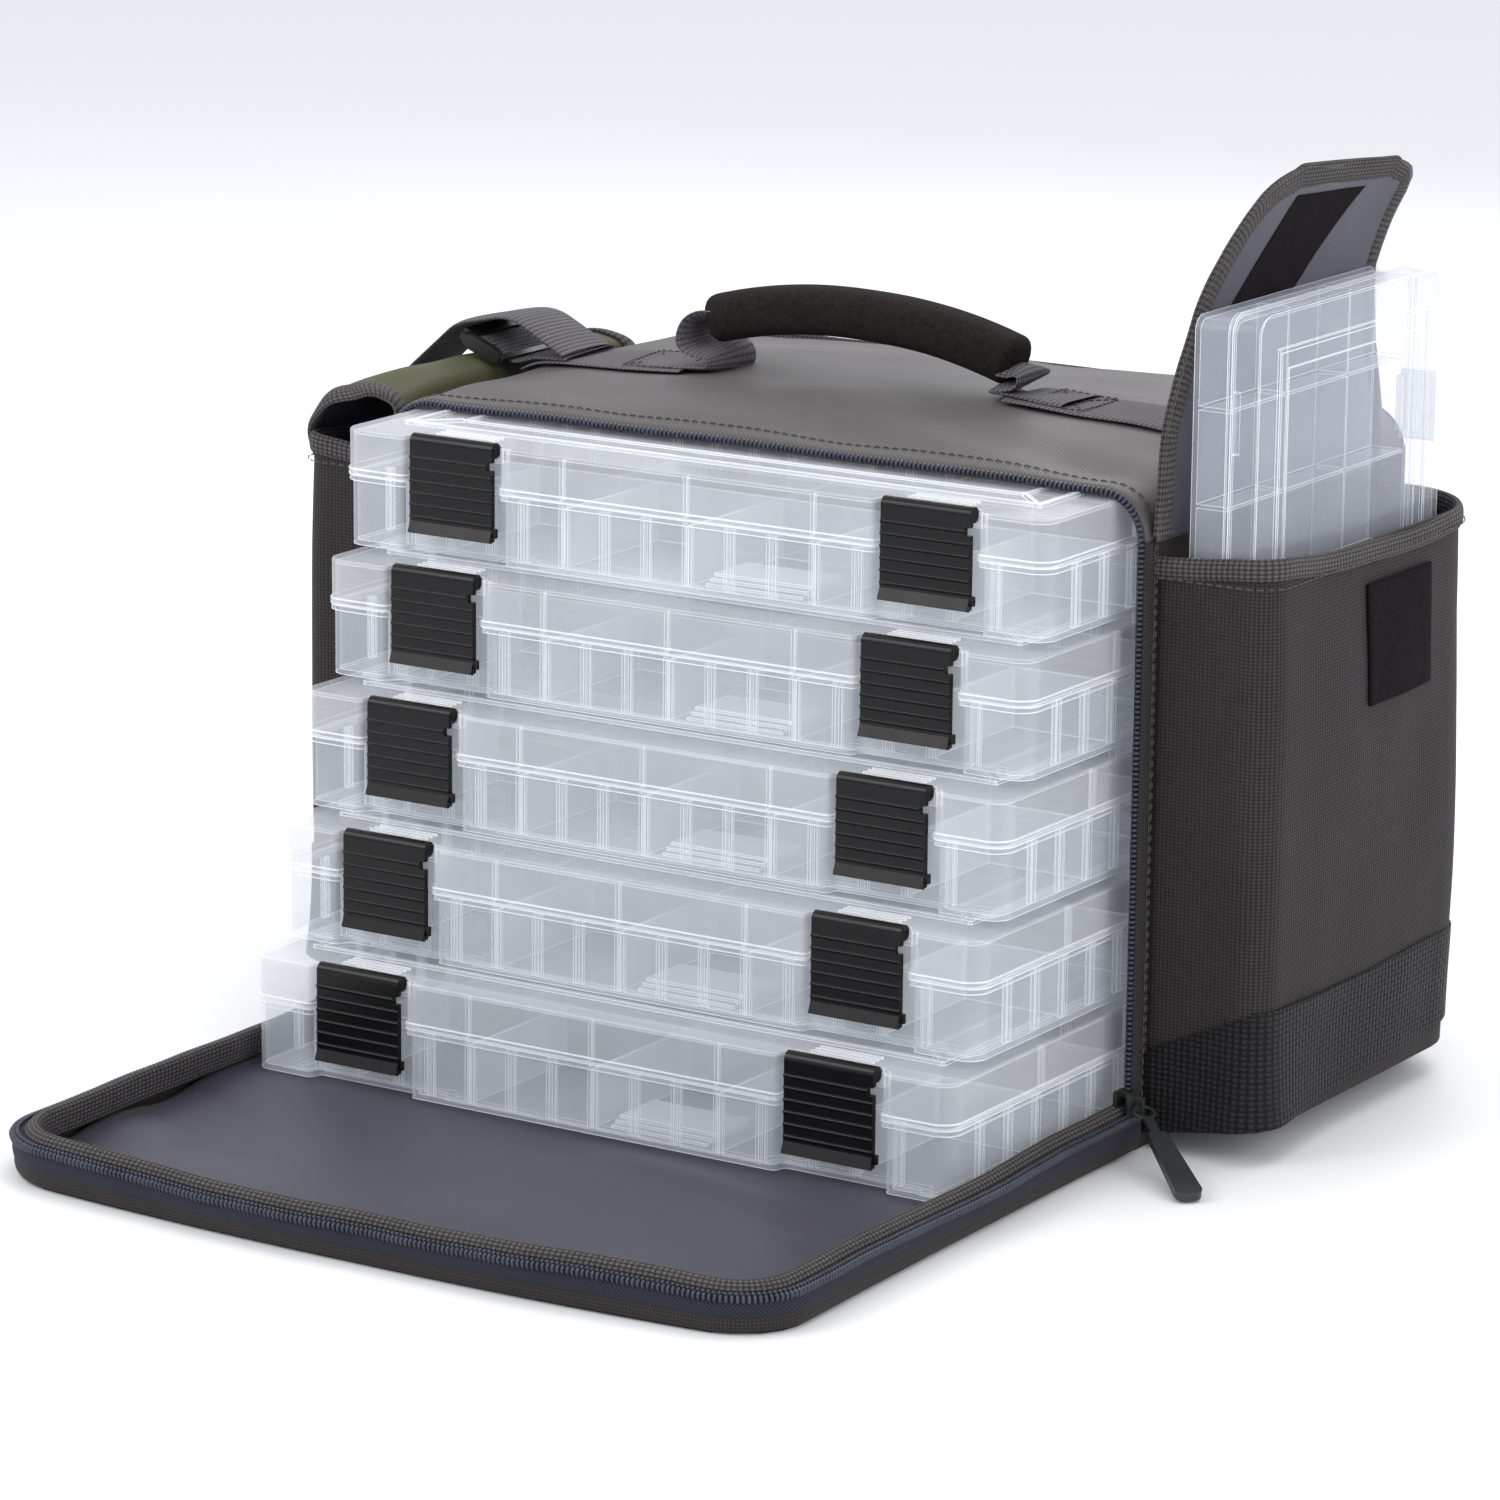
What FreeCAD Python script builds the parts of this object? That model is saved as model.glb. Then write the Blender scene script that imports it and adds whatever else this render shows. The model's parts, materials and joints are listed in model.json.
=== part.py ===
"""Tackle bag with five slide-out tackle boxes, a drop-down front door and two side pockets.

Millimetres. +Z is up, the front faces -Y, the wearer's right-hand pocket is at +X.
The origin is the middle of the flat base of the bag, on the floor.
The bag stands open: door down, boxes pulled out in steps, right flap up, left flap closed.
"""
import FreeCAD
import Part

import math
import os

from FreeCAD import Vector

# ---- bag body ----
BAG_W = 384.0            # width over the side panels
BAG_D = 236.0            # depth, front of zip to back panel
BAG_H = 284.0            # height
SHELL_T = 1.8            # fabric wall
FLOOR_T = 3.5            # stiffened floor
BACK_T = 3.2             # back panel
TOP_R = 22.0             # rounding of the top corners
SEAM_Z = 262.0           # seam between side panels and top panel
FRONT_Y = -BAG_D / 2
BACK_Y = BAG_D / 2
SHELL_FRONT_Y = FRONT_Y + 2.5

# ---- main zip ----
COIL_R = 1.5             # radius of each tooth coil
COIL_IN = 2.2            # coil centre, in from the outside face
TAPE_IN = 1.9            # tape outer face, in from the outside face
TAPE_T = 1.2
ZIP_BOTTOM_Z = 12.0
COIL_Y = FRONT_Y + 0.4
SLIDER_H = 12.0
SLIDER_Z = 15.0
SLIDER_TRAVEL = 235.0

# ---- door ----
HINGE_Y = -133.9         # door hinge line
HINGE_Z = 9.0
DOOR_FRONT_Y = HINGE_Y - (BAG_H - HINGE_Z)
DOOR_PANEL_T = 3.4
DOOR_RIM_H = 17.0        # gusset height
DOOR_SIDE_Y = -137.0     # where the rim starts in front of the hinge
DOOR_R = 24.0
DOOR_COIL_Z = 20.5

# ---- large tackle box (five alike) ----
BOX_W = 356.0
BOX_D = 226.0
TRAY_H = 31.0
BOX_H = 51.2             # tray and lid together
BOX_PITCH = 55.2         # from one box to the next in the stack
BOX_Z = 6.0              # underside of the lowest tray
WALL = 1.8
CORNER_R = 10.0
LATCH_X = 119.0          # latch centre from the middle
BAY_W = 48.0             # recess for each latch
BAY_D = 6.0
LATCH_W = 43.0
LATCH_H = 43.0
PIVOT_Y = 3.4            # latch pivot behind the front face
PIVOT_Z = 49.4           # latch pivot above the tray underside
BOX_OUT = (55.0, 69.0, 87.0, 105.0, 125.0)   # how far each box stands out, top to bottom

# ---- side pockets ----
POCKET_X = 246.0         # outer face
POCKET_FRONT = -108.0
POCKET_BACK = 92.0
POCKET_Z = 12.0
POCKET_TOP = 246.8
POCKET_T = 2.0
BAND_TOP = 64.0
BINDING_TOP = 255.0
PATCH_Y = (-26.0, 31.0)
PATCH_Z = (184.0, 234.0)

# ---- pocket flaps ----
FLAP_Y = -8.0            # middle of the flap
FLAP_HALF = 100.0        # half width at the seam
FLAP_TIP_HALF = 68.0     # half width near the tip
FOLD = 58.0              # seam to fold line
FLAP_LEN = 150.0         # seam to tip
FLAP_T = 2.5
FLAP_X = 193.0           # inner face when standing
FLAP_BIND = 9.0          # width of the edge binding
TIP_LEAN = 7.0           # degrees the tip leans out when the flap stands
FOLD_AXIS = Vector(FLAP_X + FLAP_T / 2, 0, SEAM_Z + FOLD)
ROOT_AXIS = Vector(BAG_W / 2 + 0.5, 0, SEAM_Z)

# ---- small tackle box ----
SMALL_X = (203.5, 235.5)
SMALL_Y = (-104.0, 62.0)
SMALL_Z = (153.0, 358.0)
SMALL_SPLIT_X = 222.0

# ---- handle ----
HANDLE_X = -8.0
HANDLE_Y = -5.0
GRIP_HALF = 82.0
GRIP_R = 9.5
GRIP_END_Z = 303.0
GRIP_TOP_Z = 322.0
WEB_W = 42.0             # wide webbing
WEB_T = 1.6
STRAP_X = -256.5         # where the shoulder webbing hangs beside the left flap
LOCK_X = -203.0          # ladder lock centre
LOCK_Z = 289.8
LOCK_TILT = 22.0         # degrees, outer end up

os.makedirs("parts", exist_ok=True)


def box(x0, x1, y0, y1, z0, z1):
    return Part.makeBox(x1 - x0, y1 - y0, z1 - z0, Vector(x0, y0, z0))


def cylinder_x(x0, x1, y, z, r):
    return Part.makeCylinder(r, x1 - x0, Vector(x0, y, z), Vector(1, 0, 0))


def corner(before, at, after, r):
    """Start, middle and end of the arc that rounds a corner."""
    u = (before - at).normalize()
    v = (after - at).normalize()
    half = math.acos(max(-1.0, min(1.0, u.dot(v)))) / 2
    reach = r / math.tan(half)
    middle = (u + v).normalize()
    centre = at + middle * (r / math.sin(half))
    return at + u * reach, centre - middle * r, at + v * reach


def rounded(points, radii, closed=True):
    """Wire through the points, each corner rounded by its radius (0 leaves it sharp)."""
    n = len(points)
    edges = []
    last = None
    first = None
    for i in range(n):
        ends = not closed and i in (0, n - 1)
        if ends or radii[i] <= 0:
            start = points[i]
            stop = points[i]
        else:
            start, mid, stop = corner(points[i - 1], points[i], points[(i + 1) % n], radii[i])
        if last is not None and (start - last).Length > 1e-6:
            edges.append(Part.makeLine(last, start))
        if start is not stop:
            edges.append(Part.Arc(start, mid, stop).toShape())
        if first is None:
            first = start
        last = stop
    if closed and (first - last).Length > 1e-6:
        edges.append(Part.makeLine(last, first))
    return Part.Wire(edges)


def prism(points, radii, along):
    return Part.Face(rounded(points, radii)).extrude(along)


def mirrored(shape):
    return shape.mirror(Vector(0, 0, 0), Vector(1, 0, 0))


def save(name, shape):
    shape.exportStep("parts/" + name + ".step")
    print(name, "solids", len(shape.Solids), "volume", round(shape.Volume), "valid", shape.isValid())


# ---------------------------------------------------------------- bag body
def bag_block(inset, y0, y1):
    """The bag's outline, rounded at the top, between two depths."""
    w = BAG_W / 2 - inset
    top = BAG_H - inset
    r = TOP_R - inset
    pts = [Vector(-w, y0, 0), Vector(w, y0, 0), Vector(w, y0, top), Vector(-w, y0, top)]
    return prism(pts, [0, 0, r, r], Vector(0, y1 - y0, 0))


def bag_tube():
    inner_back = BACK_Y - BACK_T - 0.2
    outer = bag_block(0, SHELL_FRONT_Y, inner_back)
    inner = bag_block(SHELL_T, SHELL_FRONT_Y - 1, inner_back + 1)
    cutter = inner.common(box(-300, 300, -300, 300, FLOOR_T, 400))
    return outer.cut(cutter)


def bag_shell():
    return bag_tube().common(box(-300, 300, -300, 300, -1, SEAM_Z))


def bag_top():
    return bag_tube().common(box(-300, 300, -300, 300, SEAM_Z + 0.1, 400))


def bag_back():
    return bag_block(0, BACK_Y - BACK_T, BACK_Y)


def zip_path(inset, y):
    """The zip's line around the opening, up one side, over the top and down the other."""
    w = BAG_W / 2 - inset
    top = BAG_H - inset
    r = TOP_R - inset
    pts = [Vector(-w, y, ZIP_BOTTOM_Z), Vector(-w, y, top), Vector(w, y, top), Vector(w, y, ZIP_BOTTOM_Z)]
    return rounded(pts, [0, r, r, 0], closed=False)


def coil_along(path, start, direction):
    profile = Part.Wire(Part.Circle(start, direction, COIL_R).toShape())
    return path.makePipeShell([profile], True, False)


def zip_bag_half():
    y0 = FRONT_Y + 1.2
    outer = bag_block(TAPE_IN, y0, y0 + 16)
    inner = bag_block(TAPE_IN + TAPE_T, y0 - 1, y0 + 17)
    tape = outer.cut(inner).common(box(-300, 300, -300, 300, ZIP_BOTTOM_Z, 400))
    start = Vector(-(BAG_W / 2 - COIL_IN), COIL_Y, ZIP_BOTTOM_Z)
    coil = coil_along(zip_path(COIL_IN, COIL_Y), start, Vector(0, 0, 1))
    return tape.fuse(coil).removeSplitter()


# ---------------------------------------------------------------- door
def door_plan(inset, z, back_y):
    w = BAG_W / 2 - inset
    front = DOOR_FRONT_Y + inset
    r = DOOR_R - inset
    return [Vector(-w, back_y, z), Vector(-w, front, z), Vector(w, front, z), Vector(w, back_y, z)], r


def door_block(inset, z0, z1, back_y=DOOR_SIDE_Y):
    pts, r = door_plan(inset, z0, back_y)
    return prism(pts, [0, r, r, 0], Vector(0, 0, z1 - z0))


def door_ring(inset, thickness, z0, z1):
    outer = door_block(inset, z0, z1)
    inner = door_block(inset + thickness, z0 - 1, z1 + 1, DOOR_SIDE_Y + 5)
    return outer.cut(inner)


def door_panel():
    return door_block(2.0, 0.3, 0.3 + DOOR_PANEL_T, FRONT_Y - 1.0)


def door_gusset():
    return door_ring(0, 1.7, 0.3, DOOR_RIM_H)


def zip_door_half():
    tape = door_ring(TAPE_IN, TAPE_T, 5.0, DOOR_COIL_Z - 1.0)
    pts, r = door_plan(COIL_IN, DOOR_COIL_Z, DOOR_SIDE_Y)
    path = rounded(pts, [0, r, r, 0], closed=False)
    coil = coil_along(path, pts[0], Vector(0, 1, 0))
    return tape.fuse(coil).removeSplitter()


def door_binding():
    return door_ring(3.3, 2.2, 7.0, 18.5)


# ---------------------------------------------------------------- zip slider and pull
def zip_slider():
    x = BAG_W / 2 - COIL_IN
    z0 = SLIDER_Z
    z1 = SLIDER_Z + SLIDER_H
    y0 = FRONT_Y - 6.0
    y1 = FRONT_Y + 2.0
    outer = box(BAG_W / 2 + 0.4, BAG_W / 2 + 2.2, y0, y1, z0, z1)
    inner = box(x - 3.8, x - 2.0, y0, y1, z0, z1)
    divider = box(x - 3.0, BAG_W / 2 + 1.0, FRONT_Y - 2.5, FRONT_Y - 1.5, z1 - 3, z1)
    face = BAG_W / 2 + 2.0
    bail = box(face, face + 5.6, -121.5, -120.3, z0 + 2, z1 - 1)
    hole = box(face, face + 4.4, -130, -110, z0 + 4, z1 - 3.2)
    return outer.fuse([inner, divider, bail.cut(hole)]).removeSplitter()


def pull_frame(shape):
    """Turns a pull drawn along +X to the way it lies, from the slider down to the floor."""
    turned = shape.copy()
    turned.rotate(Vector(0, 0, 0), Vector(0, 1, 0), 15.5)
    turned.rotate(Vector(0, 0, 0), Vector(0, 0, 1), -43.0)
    turned.translate(Vector(BAG_W / 2 + 5.5, -119.9, SLIDER_Z + 6.4))
    return turned


def zip_pull():
    loop = Part.makeTorus(4.5, 0.7, Vector(4.5, 0, 0), Vector(0, 0, 1))
    cord = box(8.6, 24, -2.0, 2.0, -1.0, 1.0)
    pts = [Vector(22, -4, -1.9), Vector(70, -6, -1.9), Vector(70, 6, -1.9), Vector(22, 4, -1.9)]
    tab = prism(pts, [2, 4, 4, 2], Vector(0, 0, 3.8))
    return pull_frame(loop.fuse([cord, tab]).removeSplitter())


# ---------------------------------------------------------------- large tackle boxes
def box_outline(inset, z):
    """Plan outline with the two latch recesses in the front."""
    w = BOX_W / 2 - inset
    back = BOX_D - inset
    front = inset
    bay_y = BAY_D + inset
    a = LATCH_X - BAY_W / 2 - inset
    b = LATCH_X + BAY_W / 2 + inset
    pts = [Vector(-w, back, z), Vector(-w, front, z)]
    pts += [Vector(-b, front, z), Vector(-b, bay_y, z), Vector(-a, bay_y, z), Vector(-a, front, z)]
    pts += [Vector(a, front, z), Vector(a, bay_y, z), Vector(b, bay_y, z), Vector(b, front, z)]
    pts += [Vector(w, front, z), Vector(w, back, z)]
    r = max(CORNER_R - inset, 2)
    return pts, [r, r, 3, 2.5, 2.5, 3, 3, 2.5, 2.5, 3, r, r]


def box_slab(inset, z0, z1):
    pts, radii = box_outline(inset, z0)
    return prism(pts, radii, Vector(0, 0, z1 - z0))


def slot_ribs():
    """Pairs of thin ribs on the inside walls that hold the dividers."""
    ribs = []
    front = 2.0 + WALL
    back = BOX_D - 2.0 - WALL
    for i in range(-7, 8):
        x = i * 21.0
        bay = LATCH_X - BAY_W / 2 - 5 < abs(x) < LATCH_X + BAY_W / 2 + 5
        y = front + (BAY_D if bay else 0)
        for dx in (-1.6, 1.6):
            ribs.append(box(x + dx - 0.5, x + dx + 0.5, y - 0.4, y + 2.2, 1, TRAY_H - 2))
            ribs.append(box(x + dx - 0.5, x + dx + 0.5, back - 2.2, back + 0.4, 1, TRAY_H - 2))
    side = BOX_W / 2 - 2.0 - WALL
    for i in range(1, 9):
        y = 8 + i * 23.0
        for dy in (-1.6, 1.6):
            ribs.append(box(side - 2.2, side + 0.4, y + dy - 0.5, y + dy + 0.5, 1, TRAY_H - 2))
            ribs.append(box(-side - 0.4, 2.2 - side, y + dy - 0.5, y + dy + 0.5, 1, TRAY_H - 2))
    return ribs


def tray():
    outer = box_slab(2.0, 0, TRAY_H)
    flange = box_slab(0.4, TRAY_H - 2.4, TRAY_H)
    cavity = box_slab(2.0 + WALL, WALL, TRAY_H + 1)
    foot_ring = box_slab(12.0, -1.8, 0.5).cut(box_slab(15.0, -3, 1))
    body = outer.fuse([flange, foot_ring]).cut(cavity)
    walls = []
    for y in (78.0, 150.0):
        walls.append(box(-BOX_W / 2 + 3, BOX_W / 2 - 3, y - 0.7, y + 0.7, 1, TRAY_H - 3))
    return body.fuse(walls + slot_ribs()).removeSplitter()


def lid_ridges():
    """Raised frame on the lid with a mitred ridge at each corner, and ribs behind the latches."""
    z0 = BOX_H - 0.3
    z1 = BOX_H + 1.7
    ridges = []
    frame = box(-160, 160, 24, 202, z0, z1).cut(box(-158, 158, 26, 200, z0 - 1, z1 + 1))
    panel = box(-142, 142, 42, 184, z0, z1 - 0.6).cut(box(-140.5, 140.5, 43.5, 182.5, z0 - 1, z1 + 1))
    ridges += [frame, panel]
    for sx in (-1, 1):
        for near, far in (((24, 42)), ((202, 184))):
            a = Vector(sx * 159, near, z0)
            b = Vector(sx * 141.5, far, z0)
            d = (b - a).normalize()
            n = Vector(-d.y, d.x, 0) * 0.8
            wire = Part.makePolygon([a + n, b + n, b - n, a - n, a + n])
            ridges.append(Part.Face(wire).extrude(Vector(0, 0, z1 - z0)))
        for k in range(3):
            y = 10.5 + k * 3.6
            x = sx * LATCH_X
            ridges.append(box(x - 15, x + 15, y, y + 1.2, z0, BOX_H + 0.9))
    return ridges


def lid_ribs():
    """Short upright ribs inside the lid's front and back, over the tray's walls."""
    ribs = []
    for x in (-126.0, -63.0, 0.0, 63.0, 126.0):
        near = WALL + (BAY_D if abs(x) > 100 else 0)
        ribs.append(box(x - 0.6, x + 0.6, near, near + 3.0, TRAY_H + 1.0, BOX_H - 1.0))
        ribs.append(box(x - 0.6, x + 0.6, BOX_D - WALL - 3.0, BOX_D - WALL, TRAY_H + 1.0, BOX_H - 1.0))
    for y in (78.0, 150.0):
        for side in (-1, 1):
            x = side * (BOX_W / 2 - WALL - 1.5)
            ribs.append(box(x - 1.5, x + 1.5, y - 0.6, y + 0.6, TRAY_H + 1.0, BOX_H - 1.0))
    return ribs


def lid():
    outer = box_slab(0.7, TRAY_H + 0.2, BOX_H)
    top_edges = [e for e in outer.Edges if e.BoundBox.ZMin > BOX_H - 0.001]
    outer = outer.makeFillet(0.9, top_edges)
    lip = box_slab(0, TRAY_H + 0.2, TRAY_H + 2.8)
    cavity = box_slab(WALL + 0.4, TRAY_H - 1, BOX_H - 1.9)
    body = outer.fuse(lip).cut(cavity)
    for sx in (-1, 1):
        groove = box(sx * LATCH_X - LATCH_W / 2 - 0.8, sx * LATCH_X + LATCH_W / 2 + 0.8, -5, 7.4, 45.4, 60)
        floor = box(sx * LATCH_X - LATCH_W / 2 - 2, sx * LATCH_X + LATCH_W / 2 + 2, 5.5, 10.5, 43.6, 50.0)
        body = body.fuse(floor).cut(groove)
    return body.fuse(lid_ridges() + lid_ribs()).removeSplitter()


def latch():
    """Snap latch: barrel at the top, ribbed plate, flared foot with a catch nub."""
    w = LATCH_W / 2
    foot_z = PIVOT_Z - LATCH_H + 3.4
    barrel = cylinder_x(-w, w, PIVOT_Y, PIVOT_Z, 3.4)
    plate = box(-w, w, 0.0, 2.4, foot_z, PIVOT_Z)
    pts = [Vector(-w, 0, foot_z + 5), Vector(-w, -2.0, foot_z), Vector(-w, 0.2, foot_z - 0.6), Vector(-w, 2.4, foot_z + 3)]
    flare = Part.Face(Part.makePolygon(pts + [pts[0]])).extrude(Vector(2 * w, 0, 0))
    parts = [plate, flare]
    for k in range(6):
        z = foot_z + 7.0 + k * 5.2
        parts.append(cylinder_x(-w, w, 0.1, z, 0.75))
    parts.append(box(w - 0.5, w + 1.9, 0.3, 2.0, foot_z + 2.0, foot_z + 6.0))
    solid = barrel.fuse(parts)
    notch = box(w - 2.6, w + 1, -5, 9, PIVOT_Z - 8.5, PIVOT_Z - 5.0)
    return solid.cut(notch).removeSplitter()


def dividers():
    """Removable dividers in their slots, and a pile of spare ones."""
    pieces = []
    z0 = WALL + 0.3
    z1 = TRAY_H - 3.0
    for x in (-126.0, -63.0, 0.0, 63.0, 126.0):
        bay = abs(x) > 100
        front = 4.4 + (BAY_D if bay else 0)
        pieces.append(box(x - 0.6, x + 0.6, front, 77.0, z0, z1))
    for x in (-84.0, 0.0, 84.0):
        pieces.append(box(x - 0.6, x + 0.6, 79.0, 149.0, z0, z1))
    for x in (-42.0, 42.0):
        pieces.append(box(x - 0.6, x + 0.6, 151.0, BOX_D - 4.4, z0, z1))
    for k in range(3):
        shift = k * 1.5
        z = z0 + 0.2 + k * 2.3
        pieces.append(box(7 + shift, 58 + shift - 3, 8.0 + k, 34.0 + k, z, z + 1.3))
    return Part.makeCompound(pieces)


def place(shape, i, x=0.0):
    moved = shape.copy()
    moved.translate(Vector(x, FRONT_Y - BOX_OUT[i], BOX_Z + (4 - i) * BOX_PITCH))
    return moved


# ---------------------------------------------------------------- side pockets
def pocket_block(out, z0, z1, inset=0.0):
    """Plan of the right pocket from the side panel outwards, grown by out."""
    x0 = BAG_W / 2 + 0.1
    x1 = POCKET_X + out
    y0 = POCKET_FRONT - out
    y1 = POCKET_BACK + out
    pts = [Vector(x0, y0, z0), Vector(x1, y0, z0), Vector(x1, y1, z0), Vector(x0, y1, z0)]
    return prism(pts, [0, 12.0 + out, 38.0 + out, 0], Vector(0, 0, z1 - z0))


def pocket_wall(out, thickness, z0, z1):
    outer = pocket_block(out, z0, z1)
    inner = pocket_block(out - thickness, z0 - 1, z1 + 1)
    inner = inner.fuse(box(BAG_W / 2 - 5, BAG_W / 2 + 1, POCKET_FRONT - out + thickness,
                           POCKET_BACK + out - thickness, z0 - 1, z1 + 1))
    return outer.cut(inner)


def pocket():
    wall = pocket_wall(0, POCKET_T, POCKET_Z, POCKET_TOP)
    floor = pocket_block(-0.5, POCKET_Z, POCKET_Z + POCKET_T)
    return wall.fuse(floor).removeSplitter()


def pocket_base():
    return pocket_wall(1.4, 1.2, POCKET_Z - 2.0, BAND_TOP)


def pocket_binding():
    return pocket_wall(1.2, 4.4, POCKET_TOP + 0.2, BINDING_TOP)


def loop_patch():
    return box(POCKET_X + 0.2, POCKET_X + 1.4, PATCH_Y[0], PATCH_Y[1], PATCH_Z[0], PATCH_Z[1])


# ---------------------------------------------------------------- flaps, drawn standing on the right
def flap_outline(x, inset, t0, t1, tip):
    z0 = SEAM_Z + t0
    z1 = SEAM_Z + t1 - inset
    if not tip:
        a = FLAP_HALF
        pts = [Vector(x, FLAP_Y - a, z0), Vector(x, FLAP_Y + a, z0)]
        pts += [Vector(x, FLAP_Y + a, z1), Vector(x, FLAP_Y - a, z1)]
        return pts, [0, 0, 0, 0]
    a = FLAP_HALF - inset
    b = FLAP_TIP_HALF - inset
    pts = [Vector(x, FLAP_Y - a, z0), Vector(x, FLAP_Y + a, z0)]
    pts += [Vector(x, FLAP_Y + b, z1), Vector(x, FLAP_Y - b, z1)]
    r = 22.0 - inset
    return pts, [0, 0, r, r]


def flap_root():
    pts, radii = flap_outline(FLAP_X, 0, 0, FOLD - 2.2, False)
    return prism(pts, radii, Vector(FLAP_T, 0, 0))


def flap_cloth():
    pts, radii = flap_outline(FLAP_X, FLAP_BIND, FOLD, FLAP_LEN, True)
    return prism(pts, radii, Vector(FLAP_T, 0, 0))


def flap_binding():
    pts, radii = flap_outline(FLAP_X - 0.4, 0, FOLD, FLAP_LEN, True)
    outer = prism(pts, radii, Vector(FLAP_T + 0.8, 0, 0))
    pts, radii = flap_outline(FLAP_X - 2, FLAP_BIND, FOLD, FLAP_LEN, True)
    return outer.cut(prism(pts, radii, Vector(FLAP_T + 5, 0, 0)))


def hook_strip():
    x = FLAP_X + FLAP_T + 0.1
    z = SEAM_Z + FOLD + 34
    return box(x, x + 1.1, PATCH_Y[0], PATCH_Y[1], z, z + 46)


def fold(shape, degrees):
    turned = shape.copy()
    turned.rotate(FOLD_AXIS, Vector(0, 1, 0), degrees)
    return turned


def closed_left(shape):
    """The same piece of the tip on the left pocket, with the flap folded shut."""
    turned = fold(shape, 90.0)
    turned.rotate(ROOT_AXIS, Vector(0, 1, 0), 90.0)
    return mirrored(turned)


def flap_root_left():
    """The root of the shut flap, arched from the seam over the pocket's mouth."""
    y0 = FLAP_Y - FLAP_HALF
    y1 = FLAP_Y + FLAP_HALF
    line = [(-194.4, SEAM_Z + 1.8), (-200.0, SEAM_Z + 20.0), (-214.0, SEAM_Z + 23.0)]
    line += [(-238.0, SEAM_Z + 15.0), (-249.2, SEAM_Z + 0.6)]
    return ribbon(bent(line, [0, 8, 12, 12, 0], y0), FLAP_T / 2, y0, y1)


# ---------------------------------------------------------------- small tackle box, standing on edge
def small_block(inset, x0, x1):
    y0 = SMALL_Y[0] + inset
    y1 = SMALL_Y[1] - inset
    z0 = SMALL_Z[0] + inset
    z1 = SMALL_Z[1] - inset
    pts = [Vector(x0, y0, z0), Vector(x0, y1, z0), Vector(x0, y1, z1), Vector(x0, y0, z1)]
    r = 9.0 - inset
    return prism(pts, [r, r, r, r], Vector(x1 - x0, 0, 0))


def small_tray():
    x0 = SMALL_X[0]
    x1 = SMALL_SPLIT_X
    body = small_block(2.5, x0, x1).fuse(small_block(0.6, x1 - 2.2, x1))
    body = body.cut(small_block(4.1, x0 + 1.6, x1 + 1))
    walls = []
    for k in range(1, 5):
        z = SMALL_Z[0] + k * 41.0
        walls.append(box(x0 + 1, x1 - 2.4, SMALL_Y[0] + 3.5, SMALL_Y[1] - 3.5, z - 0.7, z + 0.7))
    for y in (-50.0, 5.0):
        walls.append(box(x0 + 1, x1 - 2.4, y - 0.7, y + 0.7, SMALL_Z[0] + 3.5, SMALL_Z[1] - 3.5))
    return body.fuse(walls).removeSplitter()


def small_lid():
    x0 = SMALL_SPLIT_X + 0.2
    x1 = SMALL_X[1]
    body = small_block(0, x0, x1).cut(small_block(1.6, x0 - 1, x1 - 1.6))
    frame = small_block(15.0, x1 - 0.3, x1 + 1.2).cut(small_block(17.0, x1 - 1, x1 + 3))
    panel = small_block(24.0, x1 - 0.3, x1 + 0.7)
    knuckles = []
    for z in (SMALL_Z[0] + 45, SMALL_Z[1] - 45):
        foot = Vector(SMALL_SPLIT_X + 2.0, SMALL_Y[0] + 1.3, z - 13)
        knuckles.append(Part.makeCylinder(1.6, 26, foot, Vector(0, 0, 1)))
    return body.fuse([frame, panel] + knuckles).removeSplitter()


def small_latch(z):
    y = SMALL_Y[1] + 0.3
    plate = box(SMALL_SPLIT_X - 6, SMALL_X[1] - 3, y, y + 2.2, z - 15, z + 15)
    hook = box(SMALL_SPLIT_X - 8, SMALL_SPLIT_X - 5, y, y + 3.6, z - 12, z + 12)
    barrel = Part.makeCylinder(2.0, 30, Vector(SMALL_X[1] - 3.5, y + 2.0, z - 15), Vector(0, 0, 1))
    return plate.fuse([hook, barrel]).removeSplitter()


# ---------------------------------------------------------------- handle and webbing
def grip():
    y = HANDLE_Y
    a = Vector(HANDLE_X - GRIP_HALF, y, GRIP_END_Z)
    m = Vector(HANDLE_X, y, GRIP_TOP_Z)
    b = Vector(HANDLE_X + GRIP_HALF, y, GRIP_END_Z)
    arc = Part.Arc(a, m, b)
    path = Part.Wire(arc.toShape())
    profile = Part.Wire(Part.Circle(a, arc.tangent(arc.FirstParameter)[0], GRIP_R).toShape())
    return path.makePipeShell([profile], True, False)


def ribbon(points, half_t, y0, y1):
    """Flat strip with its width along Y, through points in the XZ plane."""
    left = []
    right = []
    n = len(points)
    for i in range(n):
        a = points[max(i - 1, 0)]
        b = points[min(i + 1, n - 1)]
        d = (b - a).normalize()
        normal = Vector(-d.z, 0, d.x) * half_t
        left.append(points[i] + normal)
        right.append(points[i] - normal)
    ring = left + right[::-1]
    face = Part.Face(Part.makePolygon(ring + [ring[0]]))
    return face.extrude(Vector(0, y1 - y0, 0))


def bent(points, radii, y, steps=60):
    """Points along a bent line through the given XZ corners."""
    wire = rounded([Vector(x, y, z) for x, z in points], radii, closed=False)
    return wire.discretize(Number=steps)


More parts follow.
